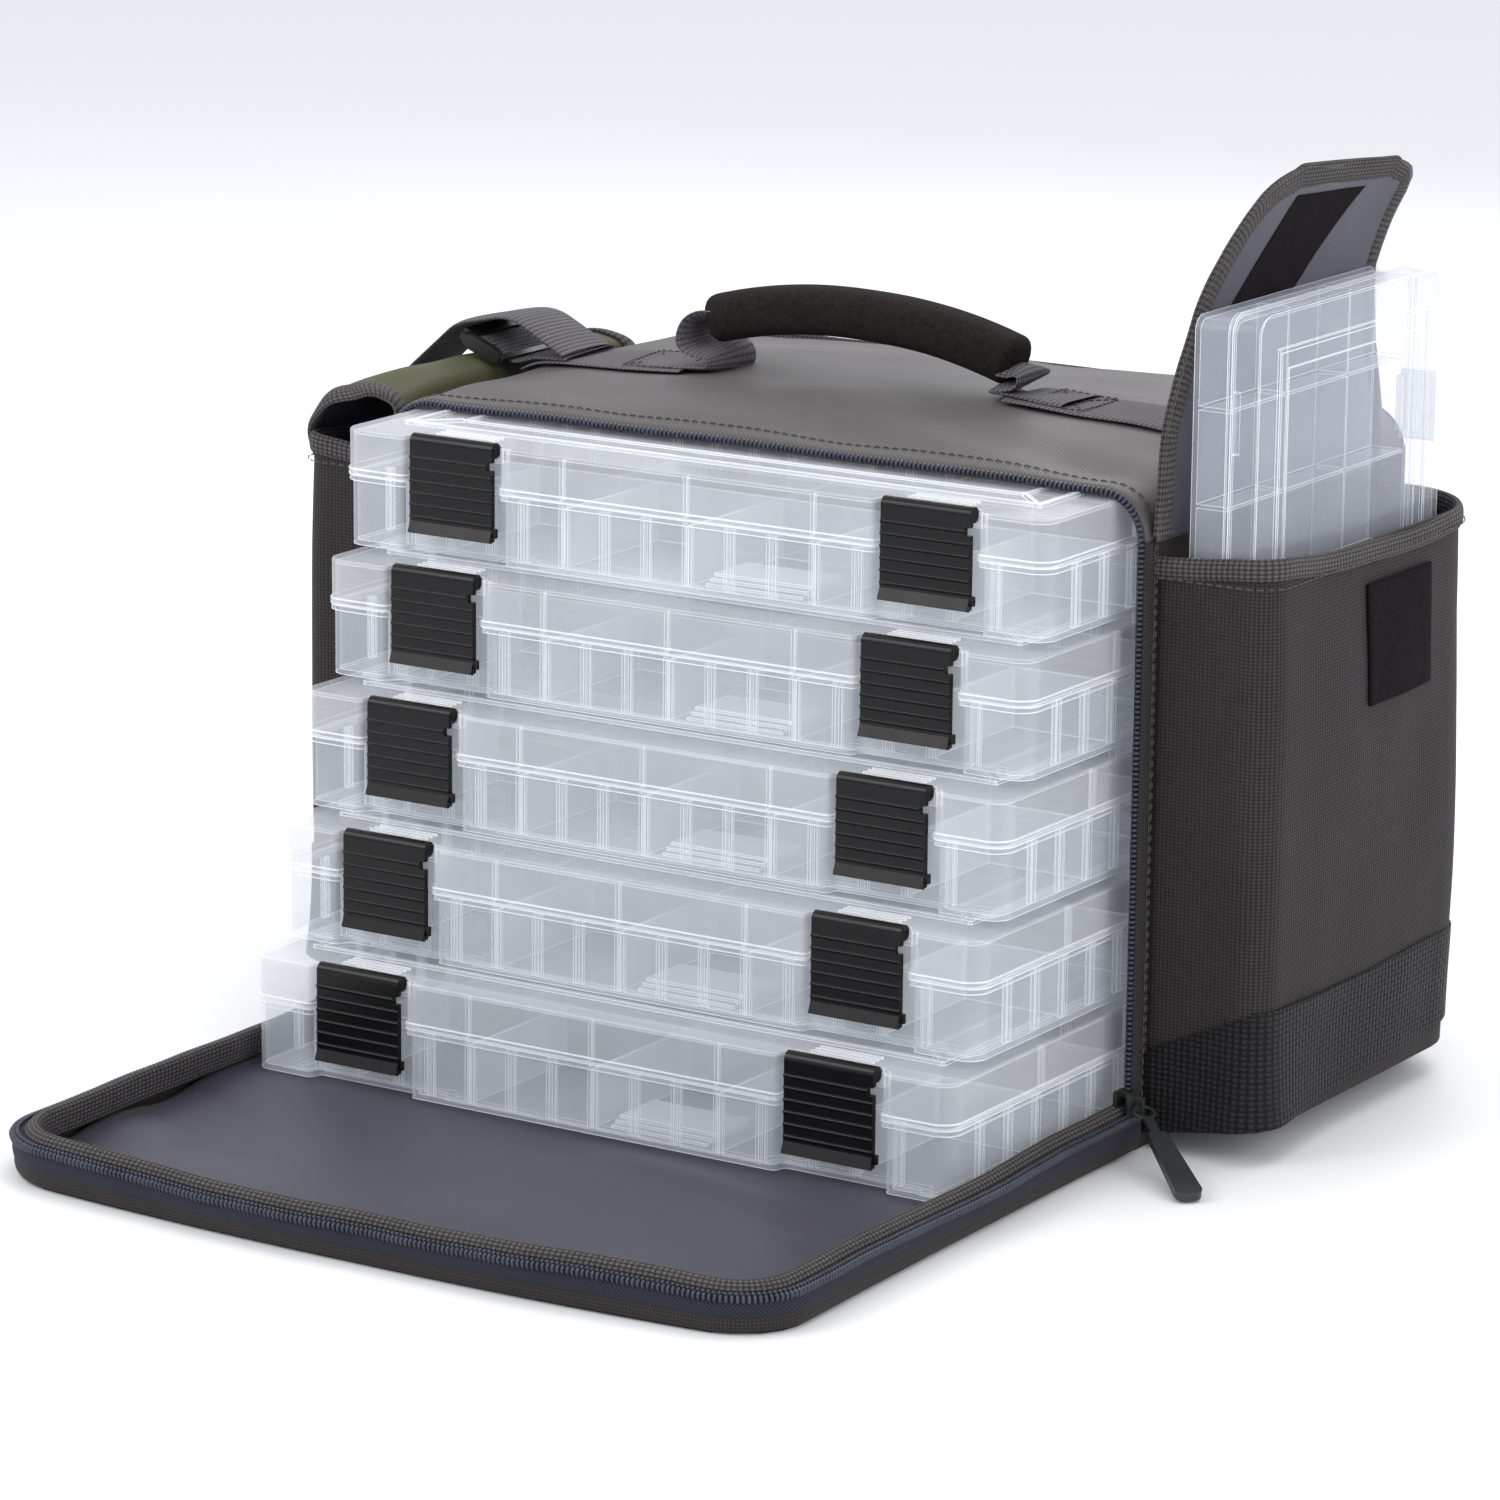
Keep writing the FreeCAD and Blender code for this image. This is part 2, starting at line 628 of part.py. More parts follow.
def handle_loops():
    pieces = []
    y0 = HANDLE_Y - 15
    for side in (-1, 1):
        foot = HANDLE_X + side * 97
        end = HANDLE_X + side * (GRIP_HALF + 0.6)
        low = BAG_H + 3.1
        line = [(foot - side * 24, low), (foot + side * 5, low), (foot + side * 1, GRIP_END_Z + 1.5), (end, GRIP_END_Z)]
        pieces.append(ribbon(bent(line, [0, 5, 5, 0], y0), 0.9, y0, y0 + 30))
    return Part.makeCompound(pieces)


def top_webbing():
    """Wide webbing sewn across the top on each side of the handle."""
    y0 = HANDLE_Y - WEB_W / 2
    y1 = HANDLE_Y + WEB_W / 2
    z = BAG_H + 0.2
    left = box(-BAG_W / 2 + 24, HANDLE_X - 70, y0, y1, z, z + WEB_T)
    right = box(HANDLE_X + 70, BAG_W / 2 - 24, y0, y1, z, z + WEB_T)
    return Part.makeCompound([left, right])


def strap_webbing():
    """Anchor webbing from the top to the ladder lock, and the strap over it and down the left side."""
    y0 = HANDLE_Y - 20
    anchor = [(-169, BAG_H + 3.2), (-180, BAG_H + 2.6), (-187.5, BAG_H - 1.5)]
    strap = [(-160, 293.0), (-194, 305.5), (-225, 299.0), (STRAP_X, 266.0), (STRAP_X, 118.0)]
    pieces = [ribbon(bent(anchor, [0, 12, 0], y0, 20), WEB_T / 2, y0, y0 + 40)]
    pieces.append(ribbon(bent(strap, [0, 24, 20, 24, 0], y0), WEB_T / 2, y0, y0 + 40))
    return Part.makeCompound(pieces)


def ladder_lock():
    """Tilting buckle that holds the strap: frame, two crossbars and a lifting lip."""
    y0 = HANDLE_Y - 26
    y1 = HANDLE_Y + 26
    sides = []
    for y in (y0, y1 - 4.5):
        pts = [Vector(-14, y, 0), Vector(-7, y, -3.2), Vector(7, y, -3.2), Vector(14, y, 0)]
        pts += [Vector(7, y, 3.2), Vector(-7, y, 3.2)]
        sides.append(prism(pts, [2, 9, 9, 2, 9, 9], Vector(0, 4.5, 0)))
    for x in (-11.0, 0.0, 11.0):
        sides.append(box(x - 1.7, x + 1.7, y0 + 1, y1 - 1, -1.4, 1.4))
    lip = box(-16.5, -10, y0 + 9, y1 - 9, -1.2, 1.2)
    body = sides[0].fuse(sides[1:] + [lip]).removeSplitter()
    body.rotate(Vector(0, 0, 0), Vector(0, 1, 0), LOCK_TILT)
    body.translate(Vector(LOCK_X, 0, LOCK_Z))
    return body


# ---------------------------------------------------------------- write every piece
save("bag_shell", bag_shell())
save("bag_top", bag_top())
save("bag_back", bag_back())
save("zip_bag_half", zip_bag_half())
save("door_panel", door_panel())
save("door_gusset", door_gusset())
save("zip_door_half", zip_door_half())
save("door_binding", door_binding())
save("zip_slider", zip_slider())
save("zip_pull", zip_pull())

TRAY = tray()
LID = lid()
LATCH = latch()
DIVIDERS = dividers()
for i in range(5):
    name = "box_" + str(i + 1)
    save(name + "_tray", place(TRAY, i))
    save(name + "_lid", place(LID, i))
    save(name + "_dividers", place(DIVIDERS, i))
    save(name + "_latch_left", place(LATCH, i, -LATCH_X))
    save(name + "_latch_right", place(LATCH, i, LATCH_X))

for name, shape in (("pocket", pocket()), ("pocket_base", pocket_base()),
                    ("pocket_binding", pocket_binding()), ("loop_patch", loop_patch())):
    save(name + "_right", shape)
    save(name + "_left", mirrored(shape))

save("flap_root_right", flap_root())
save("flap_root_left", flap_root_left())
for name, shape in (("flap_tip", flap_cloth()), ("flap_binding", flap_binding()), ("hook_strip", hook_strip())):
    save(name + "_right", fold(shape, TIP_LEAN))
    save(name + "_left", closed_left(shape))

save("small_tray", small_tray())
save("small_lid", small_lid())
save("small_latch_upper", small_latch(SMALL_Z[1] - 62))
save("small_latch_lower", small_latch(SMALL_Z[0] + 62))

save("handle_grip", grip())
save("handle_loops", handle_loops())
save("top_webbing", top_webbing())
save("strap_webbing", strap_webbing())
save("ladder_lock", ladder_lock())
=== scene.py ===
import json
from math import acos, atan2, copysign, cos, exp, hypot, pi, radians, sin, sqrt, tan

import bpy
import numpy as np
from numpy import linspace
from numpy.linalg import norm
from mathutils import Matrix, Vector, noise


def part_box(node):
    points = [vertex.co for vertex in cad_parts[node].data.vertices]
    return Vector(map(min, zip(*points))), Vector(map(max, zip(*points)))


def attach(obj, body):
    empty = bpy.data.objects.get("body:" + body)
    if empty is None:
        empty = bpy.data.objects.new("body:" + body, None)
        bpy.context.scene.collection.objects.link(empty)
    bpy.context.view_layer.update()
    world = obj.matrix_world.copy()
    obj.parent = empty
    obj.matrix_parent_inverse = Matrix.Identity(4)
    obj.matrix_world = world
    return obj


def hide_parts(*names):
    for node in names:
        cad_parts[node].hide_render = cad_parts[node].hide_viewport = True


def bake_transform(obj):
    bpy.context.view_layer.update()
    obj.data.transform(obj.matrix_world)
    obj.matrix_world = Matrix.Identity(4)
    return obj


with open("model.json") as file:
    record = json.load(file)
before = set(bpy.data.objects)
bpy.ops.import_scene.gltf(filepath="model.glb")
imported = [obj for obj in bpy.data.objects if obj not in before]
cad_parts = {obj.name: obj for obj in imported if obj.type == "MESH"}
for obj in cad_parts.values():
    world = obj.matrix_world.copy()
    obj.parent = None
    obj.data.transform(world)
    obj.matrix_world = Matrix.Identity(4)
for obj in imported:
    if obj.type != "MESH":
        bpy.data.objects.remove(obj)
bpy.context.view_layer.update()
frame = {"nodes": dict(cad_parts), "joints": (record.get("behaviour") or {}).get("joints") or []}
NODES = frame["nodes"]
TAU = 2 * pi


def unit(v):
    """v held between 0 and 1."""
    return min(1.0, max(0.0, v))


def hump(v, at, width):
    """A smooth bump of height 1 at v = at."""
    return exp(-((v - at) / width) ** 2)


# ---- shader helpers ----
def new_material(name):
    m = bpy.data.materials.new(name)
    m.use_nodes = True
    nt = m.node_tree
    return m, nt, nt.nodes["Principled BSDF"]


def calc(nt, op, *values):
    """A maths node; each value is a number or the output of another node."""
    n = nt.nodes.new("ShaderNodeMath")
    n.operation = op
    for i, v in enumerate(values):
        if isinstance(v, (int, float)):
            n.inputs[i].default_value = v
        else:
            feed(n, i, v)
    return n.outputs[0]


def mul(nt, a, b):
    return calc(nt, "MULTIPLY", a, b)


def mad(nt, a, b, c):
    """a times b, plus c."""
    return calc(nt, "MULTIPLY_ADD", a, b, c)


def sub(nt, a, b):
    return calc(nt, "SUBTRACT", a, b)


def feed(node, socket, value):
    node.id_data.links.new(value, node.inputs[socket])


def held(nt, value, low, high):
    return calc(nt, "MINIMUM", calc(nt, "MAXIMUM", value, low), high)


def noise_node(nt, scale, detail=3.0, rough=0.55):
    """Noise fixed to the piece's own object coordinates."""
    n = nt.nodes.new("ShaderNodeTexNoise")
    n.inputs["Scale"].default_value = scale
    n.inputs["Detail"].default_value = detail
    n.inputs["Roughness"].default_value = rough
    feed(n, "Vector", nt.nodes.new("ShaderNodeTexCoord").outputs["Object"])
    return n.outputs["Fac"]


def ramp(nt, fac, stops):
    n = nt.nodes.new("ShaderNodeValToRGB")
    el = n.color_ramp.elements
    while len(el) < len(stops):
        el.new(0.5)
    for e, (p, c) in zip(el, stops):
        e.position = p
        e.color = (*c, 1)
    feed(n, "Fac", fac)
    return n.outputs["Color"]


def shade(color, k):
    return [min(c * k, 1) for c in color]


def bump(nt, height, strength, distance, over=None):
    n = nt.nodes.new("ShaderNodeBump")
    n.inputs["Strength"].default_value = strength
    n.inputs["Distance"].default_value = distance
    feed(n, "Height", height)
    if over is not None:
        feed(n, "Normal", over)
    return n.outputs["Normal"]


def rounded_normal(nt, radius, samples):
    """The normal with corners rounded in the shading only."""
    n = nt.nodes.new("ShaderNodeBevel")
    n.samples = samples
    n.inputs["Radius"].default_value = radius
    return n.outputs["Normal"]


def threads(nt, pitch_u, pitch_v):
    """The cloth's own thread directions, in threads."""
    s = nt.nodes.new("ShaderNodeSeparateXYZ")
    feed(s, 0, nt.nodes.new("ShaderNodeTexCoord").outputs["UV"])
    return calc(nt, "DIVIDE", s.outputs[0], pitch_u), calc(nt, "DIVIDE", s.outputs[1], pitch_v)


def plain(nt, u, v):
    """Height of a plain weave, threads passing over and under each other."""
    middle = [sub(nt, calc(nt, "FRACT", w), 0.5) for w in (u, v)]
    cu, cv = [calc(nt, "COSINE", mul(nt, w, pi)) for w in middle]
    cells = calc(nt, "ADD", calc(nt, "FLOOR", u), calc(nt, "FLOOR", v))
    odd = calc(nt, "FLOORED_MODULO", cells, 2.0)
    warp = mul(nt, cu, mad(nt, cv, 0.6, 0.4))
    weft = mul(nt, cv, mad(nt, cu, 0.6, 0.4))
    over = mul(nt, warp, odd)
    under = mul(nt, weft, sub(nt, 1.0, odd))
    return calc(nt, "ADD", over, under)


def ridges(nt, along_u, across, height, cross_height):
    """Ridges with a faint second set crossing them."""
    main = calc(nt, "SINE", mul(nt, along_u, TAU))
    cross = calc(nt, "SINE", mul(nt, across, TAU))
    return mad(nt, cross, cross_height, mad(nt, main, height, 0.5))


def twill(nt, u, v):
    return ridges(nt, calc(nt, "ADD", u, v), sub(nt, u, v), 0.35, 0.15)


def ribs(nt, u, v):
    return ridges(nt, u, v, 0.38, 0.12)


def cloth(name, color, weave, pitch, relief, rough=0.8, sheen=0.04, gap_shade_and_patch_dark=0.55, light=1.25, patch=0.12, spec=0.15):
    """Woven cloth: thread relief, painted shade in the gaps between threads and a painted highlight on the thread
    crowns, and slow changes of tone and roughness.
    """
    m, nt, bsdf = new_material(name)
    pitch_u, pitch_v = pitch if isinstance(pitch, tuple) else (pitch, pitch)
    height = weave(nt, *threads(nt, pitch_u, pitch_v))
    fuzz = noise_node(nt, 900.0, 2.0)
    slow = noise_node(nt, 14.0, 4.0)
    mixed = mad(nt, fuzz, 0.25, mul(nt, height, 0.85))
    tone = mad(nt, sub(nt, slow, 0.5), patch * 4, mixed)
    # Painted shade and highlight: the ramp darkens the weave's gaps by the first tone factor and lightens its thread
    # crowns by the second; the slow noise adds real patches of tone.
    shades = ramp(nt, tone, [(0.05, shade(color, gap_shade_and_patch_dark)), (0.55, color), (1.0, shade(color, light))])
    feed(bsdf, "Base Color", shades)
    feed(bsdf, "Roughness", mad(nt, slow, 0.25, rough - 0.12))
    feed(bsdf, "Normal", bump(nt, mixed, 0.9, relief))
    bsdf.inputs["Sheen Weight"].default_value = sheen
    bsdf.inputs["Sheen Roughness"].default_value = 0.45
    bsdf.inputs["Specular IOR Level"].default_value = spec
    return m


def fuzzy(name, color, scale, relief):
    """Matt surface of fine hairs or foam cells."""
    m, nt, bsdf = new_material(name)
    fine = noise_node(nt, scale, 4.0, 0.75)
    coarse = noise_node(nt, scale * 0.22, 2.0)
    both = mad(nt, coarse, 0.2, mul(nt, fine, 0.85))
    feed(bsdf, "Base Color", ramp(nt, both, [(0.35, shade(color, 0.25)), (0.75, shade(color, 2.2))]))
    feed(bsdf, "Normal", bump(nt, both, 1.0, relief))
    bsdf.inputs["Roughness"].default_value = 0.95
    bsdf.inputs["Specular IOR Level"].default_value = 0.08
    bsdf.inputs["Sheen Weight"].default_value = 0.01
    return m


def moulded(name, color, rough, scale, relief, metallic=0.0, wear=0.3, spec=0.5):
    """Moulded or cast surface: fine grain, uneven gloss and slight marks."""
    m, nt, bsdf = new_material(name)
    grain = noise_node(nt, scale, 3.0)
    marks = noise_node(nt, 60.0, 5.0, 0.7)
    tones = [(0.3, shade(color, 1 - wear * 0.5)), (0.7, shade(color, 1 + wear))]
    feed(bsdf, "Base Color", ramp(nt, marks, tones))
    feed(bsdf, "Roughness", mad(nt, marks, 0.22, rough - 0.1))
    feed(bsdf, "Normal", bump(nt, grain, 0.6, relief, rounded_normal(nt, 0.0004, 4)))
    bsdf.inputs["Metallic"].default_value = metallic
    bsdf.inputs["Specular IOR Level"].default_value = spec
    return m


def milky(name, color, thin, edge, painted_glow=0.09):
    """Clear moulded plastic with a slight haze: see-through face on, with a painted white highlight along every edge
    and corner.

    thin is its cover seen face on, edge what it gains seen edge on. The far walls are nearly clear.
    The last argument sets its emission, painted light that stands for the light scattering about inside the cloudy
    walls."""
    far_wall, corner_highlight_cover = 0.04, 0.75
    m, nt, bsdf = new_material(name)
    flow = noise_node(nt, 18.0, 3.0)
    fine = noise_node(nt, 260.0, 2.0)
    geo = nt.nodes.new("ShaderNodeNewGeometry")
    dot = nt.nodes.new("ShaderNodeVectorMath")
    dot.operation = "DOT_PRODUCT"
    feed(dot, 0, rounded_normal(nt, 0.0008, 6))
    feed(dot, 1, geo.outputs["True Normal"])
    # Edges and corners, found from the rounded normal, get a painted white highlight.
    corner = mul(nt, sub(nt, 1.0, dot.outputs["Value"]), 7.0)
    corner = held(nt, corner, 0.0, 1.0)
    face = nt.nodes.new("ShaderNodeLayerWeight")
    face.inputs["Blend"].default_value = 0.3
    rim = calc(nt, "POWER", face.outputs["Facing"], 2.2)
    cover = mad(nt, geo.outputs["Backfacing"], far_wall - thin, thin)
    cover = mad(nt, rim, edge, cover)
    # More cover at edges and corners shows their painted white highlight.
    cover = mad(nt, corner, corner_highlight_cover, cover)
    cover = mad(nt, sub(nt, flow, 0.5), 0.06, cover)
    feed(bsdf, "Alpha", held(nt, cover, 0.03, 0.97))
    # Painted highlight: edges and corners are painted white; the flow noise adds a real haze of tone.
    white = mad(nt, corner, 0.8, mul(nt, flow, 0.3))
    tint = ramp(nt, white, [(0.05, shade(color, 0.86)), (0.35, color), (0.9, (0.985, 0.99, 1.0))])
    feed(bsdf, "Base Color", tint)
    # Painted light: a faint emission makes the plastic give out light though it is no lamp.
    bsdf.inputs["Emission Color"].default_value = (0.86, 0.92, 1.0, 1)
    bsdf.inputs["Emission Strength"].default_value = painted_glow
    feed(bsdf, "Roughness", mad(nt, fine, 0.1, 0.08))
    feed(bsdf, "Normal", bump(nt, flow, 0.2, 0.0008))
    bsdf.inputs["Specular IOR Level"].default_value = 0.8
    return m


# Each cloth below has painted shade in its weave's gaps and a painted highlight on its thread crowns, set by its two
# tone factors.
TOP = cloth("top_cloth", (0.084, 0.076, 0.075), twill, 0.0022, 0.00012,
            rough=0.55, sheen=0.03, gap_shade_and_patch_dark=0.72, light=1.2, patch=0.1, spec=0.25)
SIDE = cloth("side_cloth", (0.03, 0.026, 0.025), plain, 0.0015, 0.00025, rough=0.72, gap_shade_and_patch_dark=0.5, light=1.7)
POCKET = cloth("pocket_cloth", (0.027, 0.023, 0.0235), plain, (0.0019, 0.0015), 0.0003,
               rough=0.7, gap_shade_and_patch_dark=0.4, light=2.0)
HEAVY = cloth("base_cloth", (0.0075, 0.007, 0.0075), plain, (0.003, 0.0024), 0.0009,
              rough=0.55, gap_shade_and_patch_dark=0.25, light=3.6, spec=0.16)
TAPE = cloth("binding_tape", (0.058, 0.053, 0.053), plain, (0.0026, 0.0019), 0.0008,
             rough=0.7, gap_shade_and_patch_dark=0.1, light=2.1)
WEB = cloth("wide_webbing", (0.11, 0.102, 0.112), plain, (0.0024, 0.0018), 0.0007,
            rough=0.68, gap_shade_and_patch_dark=0.14, light=1.6)
LINING = cloth("lining", (0.037, 0.0345, 0.056), plain, 0.0009, 0.00008,
               rough=0.5, sheen=0.1, gap_shade_and_patch_dark=0.8, light=1.2, patch=0.1, spec=0.5)
OLIVE = cloth("olive_cloth", (0.07, 0.072, 0.034), ribs, (0.0021, 0.0012), 0.00035, rough=0.6, gap_shade_and_patch_dark=0.45, light=1.35)
NAVY = cloth("zip_tape", (0.022, 0.023, 0.032), twill, 0.0018, 0.0003, rough=0.75, gap_shade_and_patch_dark=0.5, light=1.8)
TOOTH = moulded("zip_teeth", (0.02, 0.023, 0.04), 0.38, 900, 0.00003, wear=0.8, spec=0.6)
FUZZ = fuzzy("touch_fastener", (0.009, 0.0065, 0.009), 900, 0.0012)
FOAM = fuzzy("grip_foam", (0.018, 0.0148, 0.0142), 1500, 0.0004)
RUBBER = moulded("pull_rubber", (0.022, 0.024, 0.024), 0.45, 500, 0.00005)
METAL = moulded("slider_paint", (0.045, 0.052, 0.047), 0.38, 500, 0.00004, metallic=0.5, wear=0.6)
BLACK = moulded("latch_plastic", (0.0022, 0.002, 0.0024), 0.26, 1200, 0.00002, spec=0.26)
BUCKLE = moulded("buckle_plastic", (0.01, 0.009, 0.009), 0.38, 900, 0.00004, wear=0.4, spec=0.4)
THREAD = cloth("thread", (0.085, 0.078, 0.074), ribs, 0.0006, 0.0001, rough=0.6, gap_shade_and_patch_dark=0.5, light=1.5)
# The clear plastics below give out a painted emission and carry painted white highlights along their edges and
# corners.
TRAY_MAT = milky("tray_plastic", (0.87, 0.915, 0.975), 0.27, 0.28)
LID_MAT = milky("lid_plastic", (0.92, 0.945, 0.98), 0.32, 0.26)
DIV_MAT = milky("divider_plastic", (0.9, 0.935, 0.98), 0.4, 0.25)
SMALL_MAT = milky("small_box_plastic", (0.74, 0.78, 0.88), 0.2, 0.3, painted_glow=0.035)


# ---- mesh helpers ----
def link(obj):
    bpy.context.scene.collection.objects.link(obj)
    return obj


def make(name, verts, faces, mats, uvs=None):
    me = bpy.data.meshes.new(name)
    me.from_pydata([tuple(v) for v in verts], [], faces)
    for m in (mats if isinstance(mats, (list, tuple)) else [mats]):
        me.materials.append(m)
    if uvs is not None:
        layer = me.uv_layers.new(name="UVMap")
        loops = np.zeros(len(me.loops), dtype=int)
        me.loops.foreach_get("vertex_index", loops)
        layer.data.foreach_set("uv", np.asarray(uvs, float)[loops].ravel())
    me.polygons.foreach_set("use_smooth", [True] * len(me.polygons))
    me.update()
    return link(bpy.data.objects.new(name, me))


def grid(name, pts, uv, mats, ring=False):
    """A sheet from points [rows][columns][xyz] with its cloth coordinates; ring joins last column to first."""
    pts = np.asarray(pts, float)
    rows, cols = pts.shape[:2]
    faces = []
    for i in range(rows - 1):
        for j in range(cols if ring else cols - 1):
            k = (j + 1) % cols
            faces.append((i * cols + j, i * cols + k, (i + 1) * cols + k, (i + 1) * cols + j))
    return make(name, pts.reshape(-1, 3), faces, mats, np.asarray(uv, float).reshape(-1, 2))


def thick(obj, t, offset=-1.0, inner=0):
    """Gives a sheet its thickness; inner=1 puts the second material on the inside."""
    s = obj.modifiers.new("thickness", "SOLIDIFY")
    s.thickness = t
    s.offset = offset
    s.material_offset = inner
    s.use_even_offset = False
    return obj


def smoothed(obj):
    s = obj.modifiers.new("soft", "SUBSURF")
    s.levels = 1
    s.render_levels = 1
    return obj


def apply(obj):
    dg = bpy.context.evaluated_depsgraph_get()
    me = bpy.data.meshes.new_from_object(obj.evaluated_get(dg))
    obj.modifiers.clear()
    obj.data = me
    return obj


def along(points):
    """Distance along a path at each of its points."""
    p = np.asarray(points, float)
    return np.concatenate([[0], np.cumsum(norm(np.diff(p, axis=0), axis=1))])


def spot_at(q, s, p):
    """The point at distance q along path p, whose distances are s."""
    return np.array([np.interp(q, s, p[:, k]) for k in range(3)])


def resample(points, step):
    p = np.asarray(points, float)
    s = along(p)
    q = linspace(0, s[-1], max(2, int(round(s[-1] / step)) + 1))
    return np.stack([np.interp(q, s, p[:, k]) for k in range(p.shape[1])], 1)


def round_path(corners, radii, step=0.004):
    """2-D path through corners, rounded, with even steps."""
    out = []
    c = [np.asarray(x, float) for x in corners]
    for i, p in enumerate(c):
        r = radii[i]
        if r <= 0 or i in (0, len(c) - 1):
            out.append(p)
            continue
        u = (c[i - 1] - p) / norm(c[i - 1] - p)
        v = (c[i + 1] - p) / norm(c[i + 1] - p)
        half = acos(np.clip(u @ v, -1, 1)) / 2
        a, b = p + u * r / tan(half), p + v * r / tan(half)
        centre = p + (u + v) / norm(u + v) * r / sin(half)
        a0, b0 = a - centre, b - centre
        turn = atan2(a0[0] * b0[1] - a0[1] * b0[0], a0 @ b0)
        for k in range(9):
            t = turn * k / 8
            out.append(centre + np.array([[cos(t), -sin(t)], [sin(t), cos(t)]]) @ a0)
    return resample(np.array(out), step)


def directions(path):
    """Unit directions along a path."""
    d = np.gradient(path, axis=0)
    return d / norm(d, axis=1)[:, None]


def normals2(path):
    """Left-hand normals of a 2-D path."""
    d = directions(path)
    return np.stack([-d[:, 1], d[:, 0]], 1)


def swept(name, path, profile, place, mats, ring=False):
    """Sweeps profile (outward, across) along a 2-D path; place turns (a, b, across) into a point."""
    n = normals2(path)
    s = along(path)
    w = along(profile)
    pts, uv = [], []
    for i in range(len(path)):
        pts.append([place(*(path[i] + n[i] * out), across) for out, across in profile])
        uv.append([(s[i], q) for q in w])
    return grid(name, pts, uv, mats, ring)


def stitches(name, points, normal_of, length=0.0032, gap=0.0014, r=0.00038):
    """A row of sewn stitches along 3-D points: each a small bowed thread of five rings."""
    lift, sides = 0.0002, 5
    p = resample(points, 0.0005)
    s = along(p)
    verts, faces = [], []
    pos = gap
    while pos + length < s[-1]:
        a, b = spot_at(pos, s, p), spot_at(pos + length, s, p)
        n = np.asarray(normal_of((a + b) / 2), float)
        side = np.cross((b - a) / norm(b - a), n)
        base = len(verts)
        for k in range(5):
            t = k / 4
            c = a + (b - a) * t + n * (lift + r * sin(pi * t) - r * 0.6)
            rr = r * (0.55 + 0.45 * sin(pi * t))
            for q in range(sides):
                ang = TAU * q / sides
                verts.append(c + side * rr * cos(ang) + n * rr * sin(ang))
        for k in range(4):
            lo, hi = base + k * sides, base + (k + 1) * sides
            for q in range(sides):
                faces.append((lo + q, lo + (q + 1) % sides, hi + (q + 1) % sides, hi + q))
        faces.append(tuple(base + q for q in range(sides))[::-1])
        faces.append(tuple(base + 4 * sides + q for q in range(sides)))
        pos += length + gap
    return make(name, verts, faces, THREAD, [(v[0] + v[1], v[2]) for v in verts])


def ride(obj, body):
    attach(obj, body)
    return obj


def sew_row(name, points, normal, slot, body="bag", **sizes):
    """A row of stitches on its body; normal is a direction, or a function that gives it at a point."""
    normal_of = normal if callable(normal) else lambda p: normal
    ride(stitches(name, points, normal_of, **sizes), body)


def blend(obj, a, b, start, end, slot):
    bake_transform(obj)
    return obj


def wave(x, y, z, scale, amount, seed=0):
    """Smooth unevenness, the same each time for the same place and seed."""
    return amount * noise.noise(Vector((x * scale + seed, y * scale, z * scale)))


def mirrored(rows):
    return [row[::-1] for row in rows]


# ---- where things are ----
def corners(node):
    lo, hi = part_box(node)
    return np.array(lo), np.array(hi)


SHELL_LO, SHELL_HI = corners("bag_shell")
W = SHELL_HI[0]
SEAM = SHELL_HI[2]
H = corners("bag_top")[1][2]
FRONT = SHELL_LO[1]
BACK = corners("bag_back")[1][1]
ROUND = H - SEAM
COIL_Y = corners("zip_bag_half")[0][1] + 0.0015
ZIP_Z = corners("zip_bag_half")[0][2]
DOOR_LO, DOOR_HI = corners("door_gusset")
PANEL_HI = corners("door_panel")[1]
POCKET_LO, POCKET_HI = corners("pocket_right")
RIM_Z = corners("pocket_binding_right")[0][2]
PATCH_LO, PATCH_HI = corners("loop_patch_right")
FOLD_Z = {j["name"]: j for j in frame["joints"]}["flap_right_fold"]["pos_m"][2]
FLAP_RISE = corners("flap_binding_right")[1][2] - SEAM
GRIP_LO, GRIP_HI = corners("handle_grip")


SIDES = (("right", 1), ("left", -1))
TURN_IN = (-0.0045, -0.0012)    # how far a panel's front edge is turned in behind the zip


def sew(obj, body, node=None):
    """Fixes a finished piece to its body, in place of a CAD node if one is named."""
    ride(apply(obj), body)
    if node:
        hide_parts(node)


def plan(pts):
    """Cloth coordinates of a flat-lying sheet: its own x and y."""
    return [[p[:2] for p in row] for row in pts]


def pushed(path, out):
    """A 2-D path moved along its normals by the amounts in out."""
    return [(p[0] + m[0] * o, p[1] + m[1] * o) for p, m, o in zip(path, normals2(path), out)]


def depth_rows(turned, count):
    """Places from front to back across a panel, the first two for the edge turned in behind the zip."""
    edge = [FRONT - 0.0012, FRONT - turned]
    return np.concatenate([edge, linspace(FRONT, BACK - 0.002, count), [BACK - 0.0008]])


# ---- bag ----
def bag_section(inset=0.0, bottom=None):
    """The bag's outline across its front, left seam over the top to the right seam, as (x, z)."""
    w, top, r = W - inset, H - inset, ROUND - inset
    low = SEAM if bottom is None else bottom
    return round_path([(-w, low), (-w, top), (w, top), (w, low)], [0, r, r, 0])


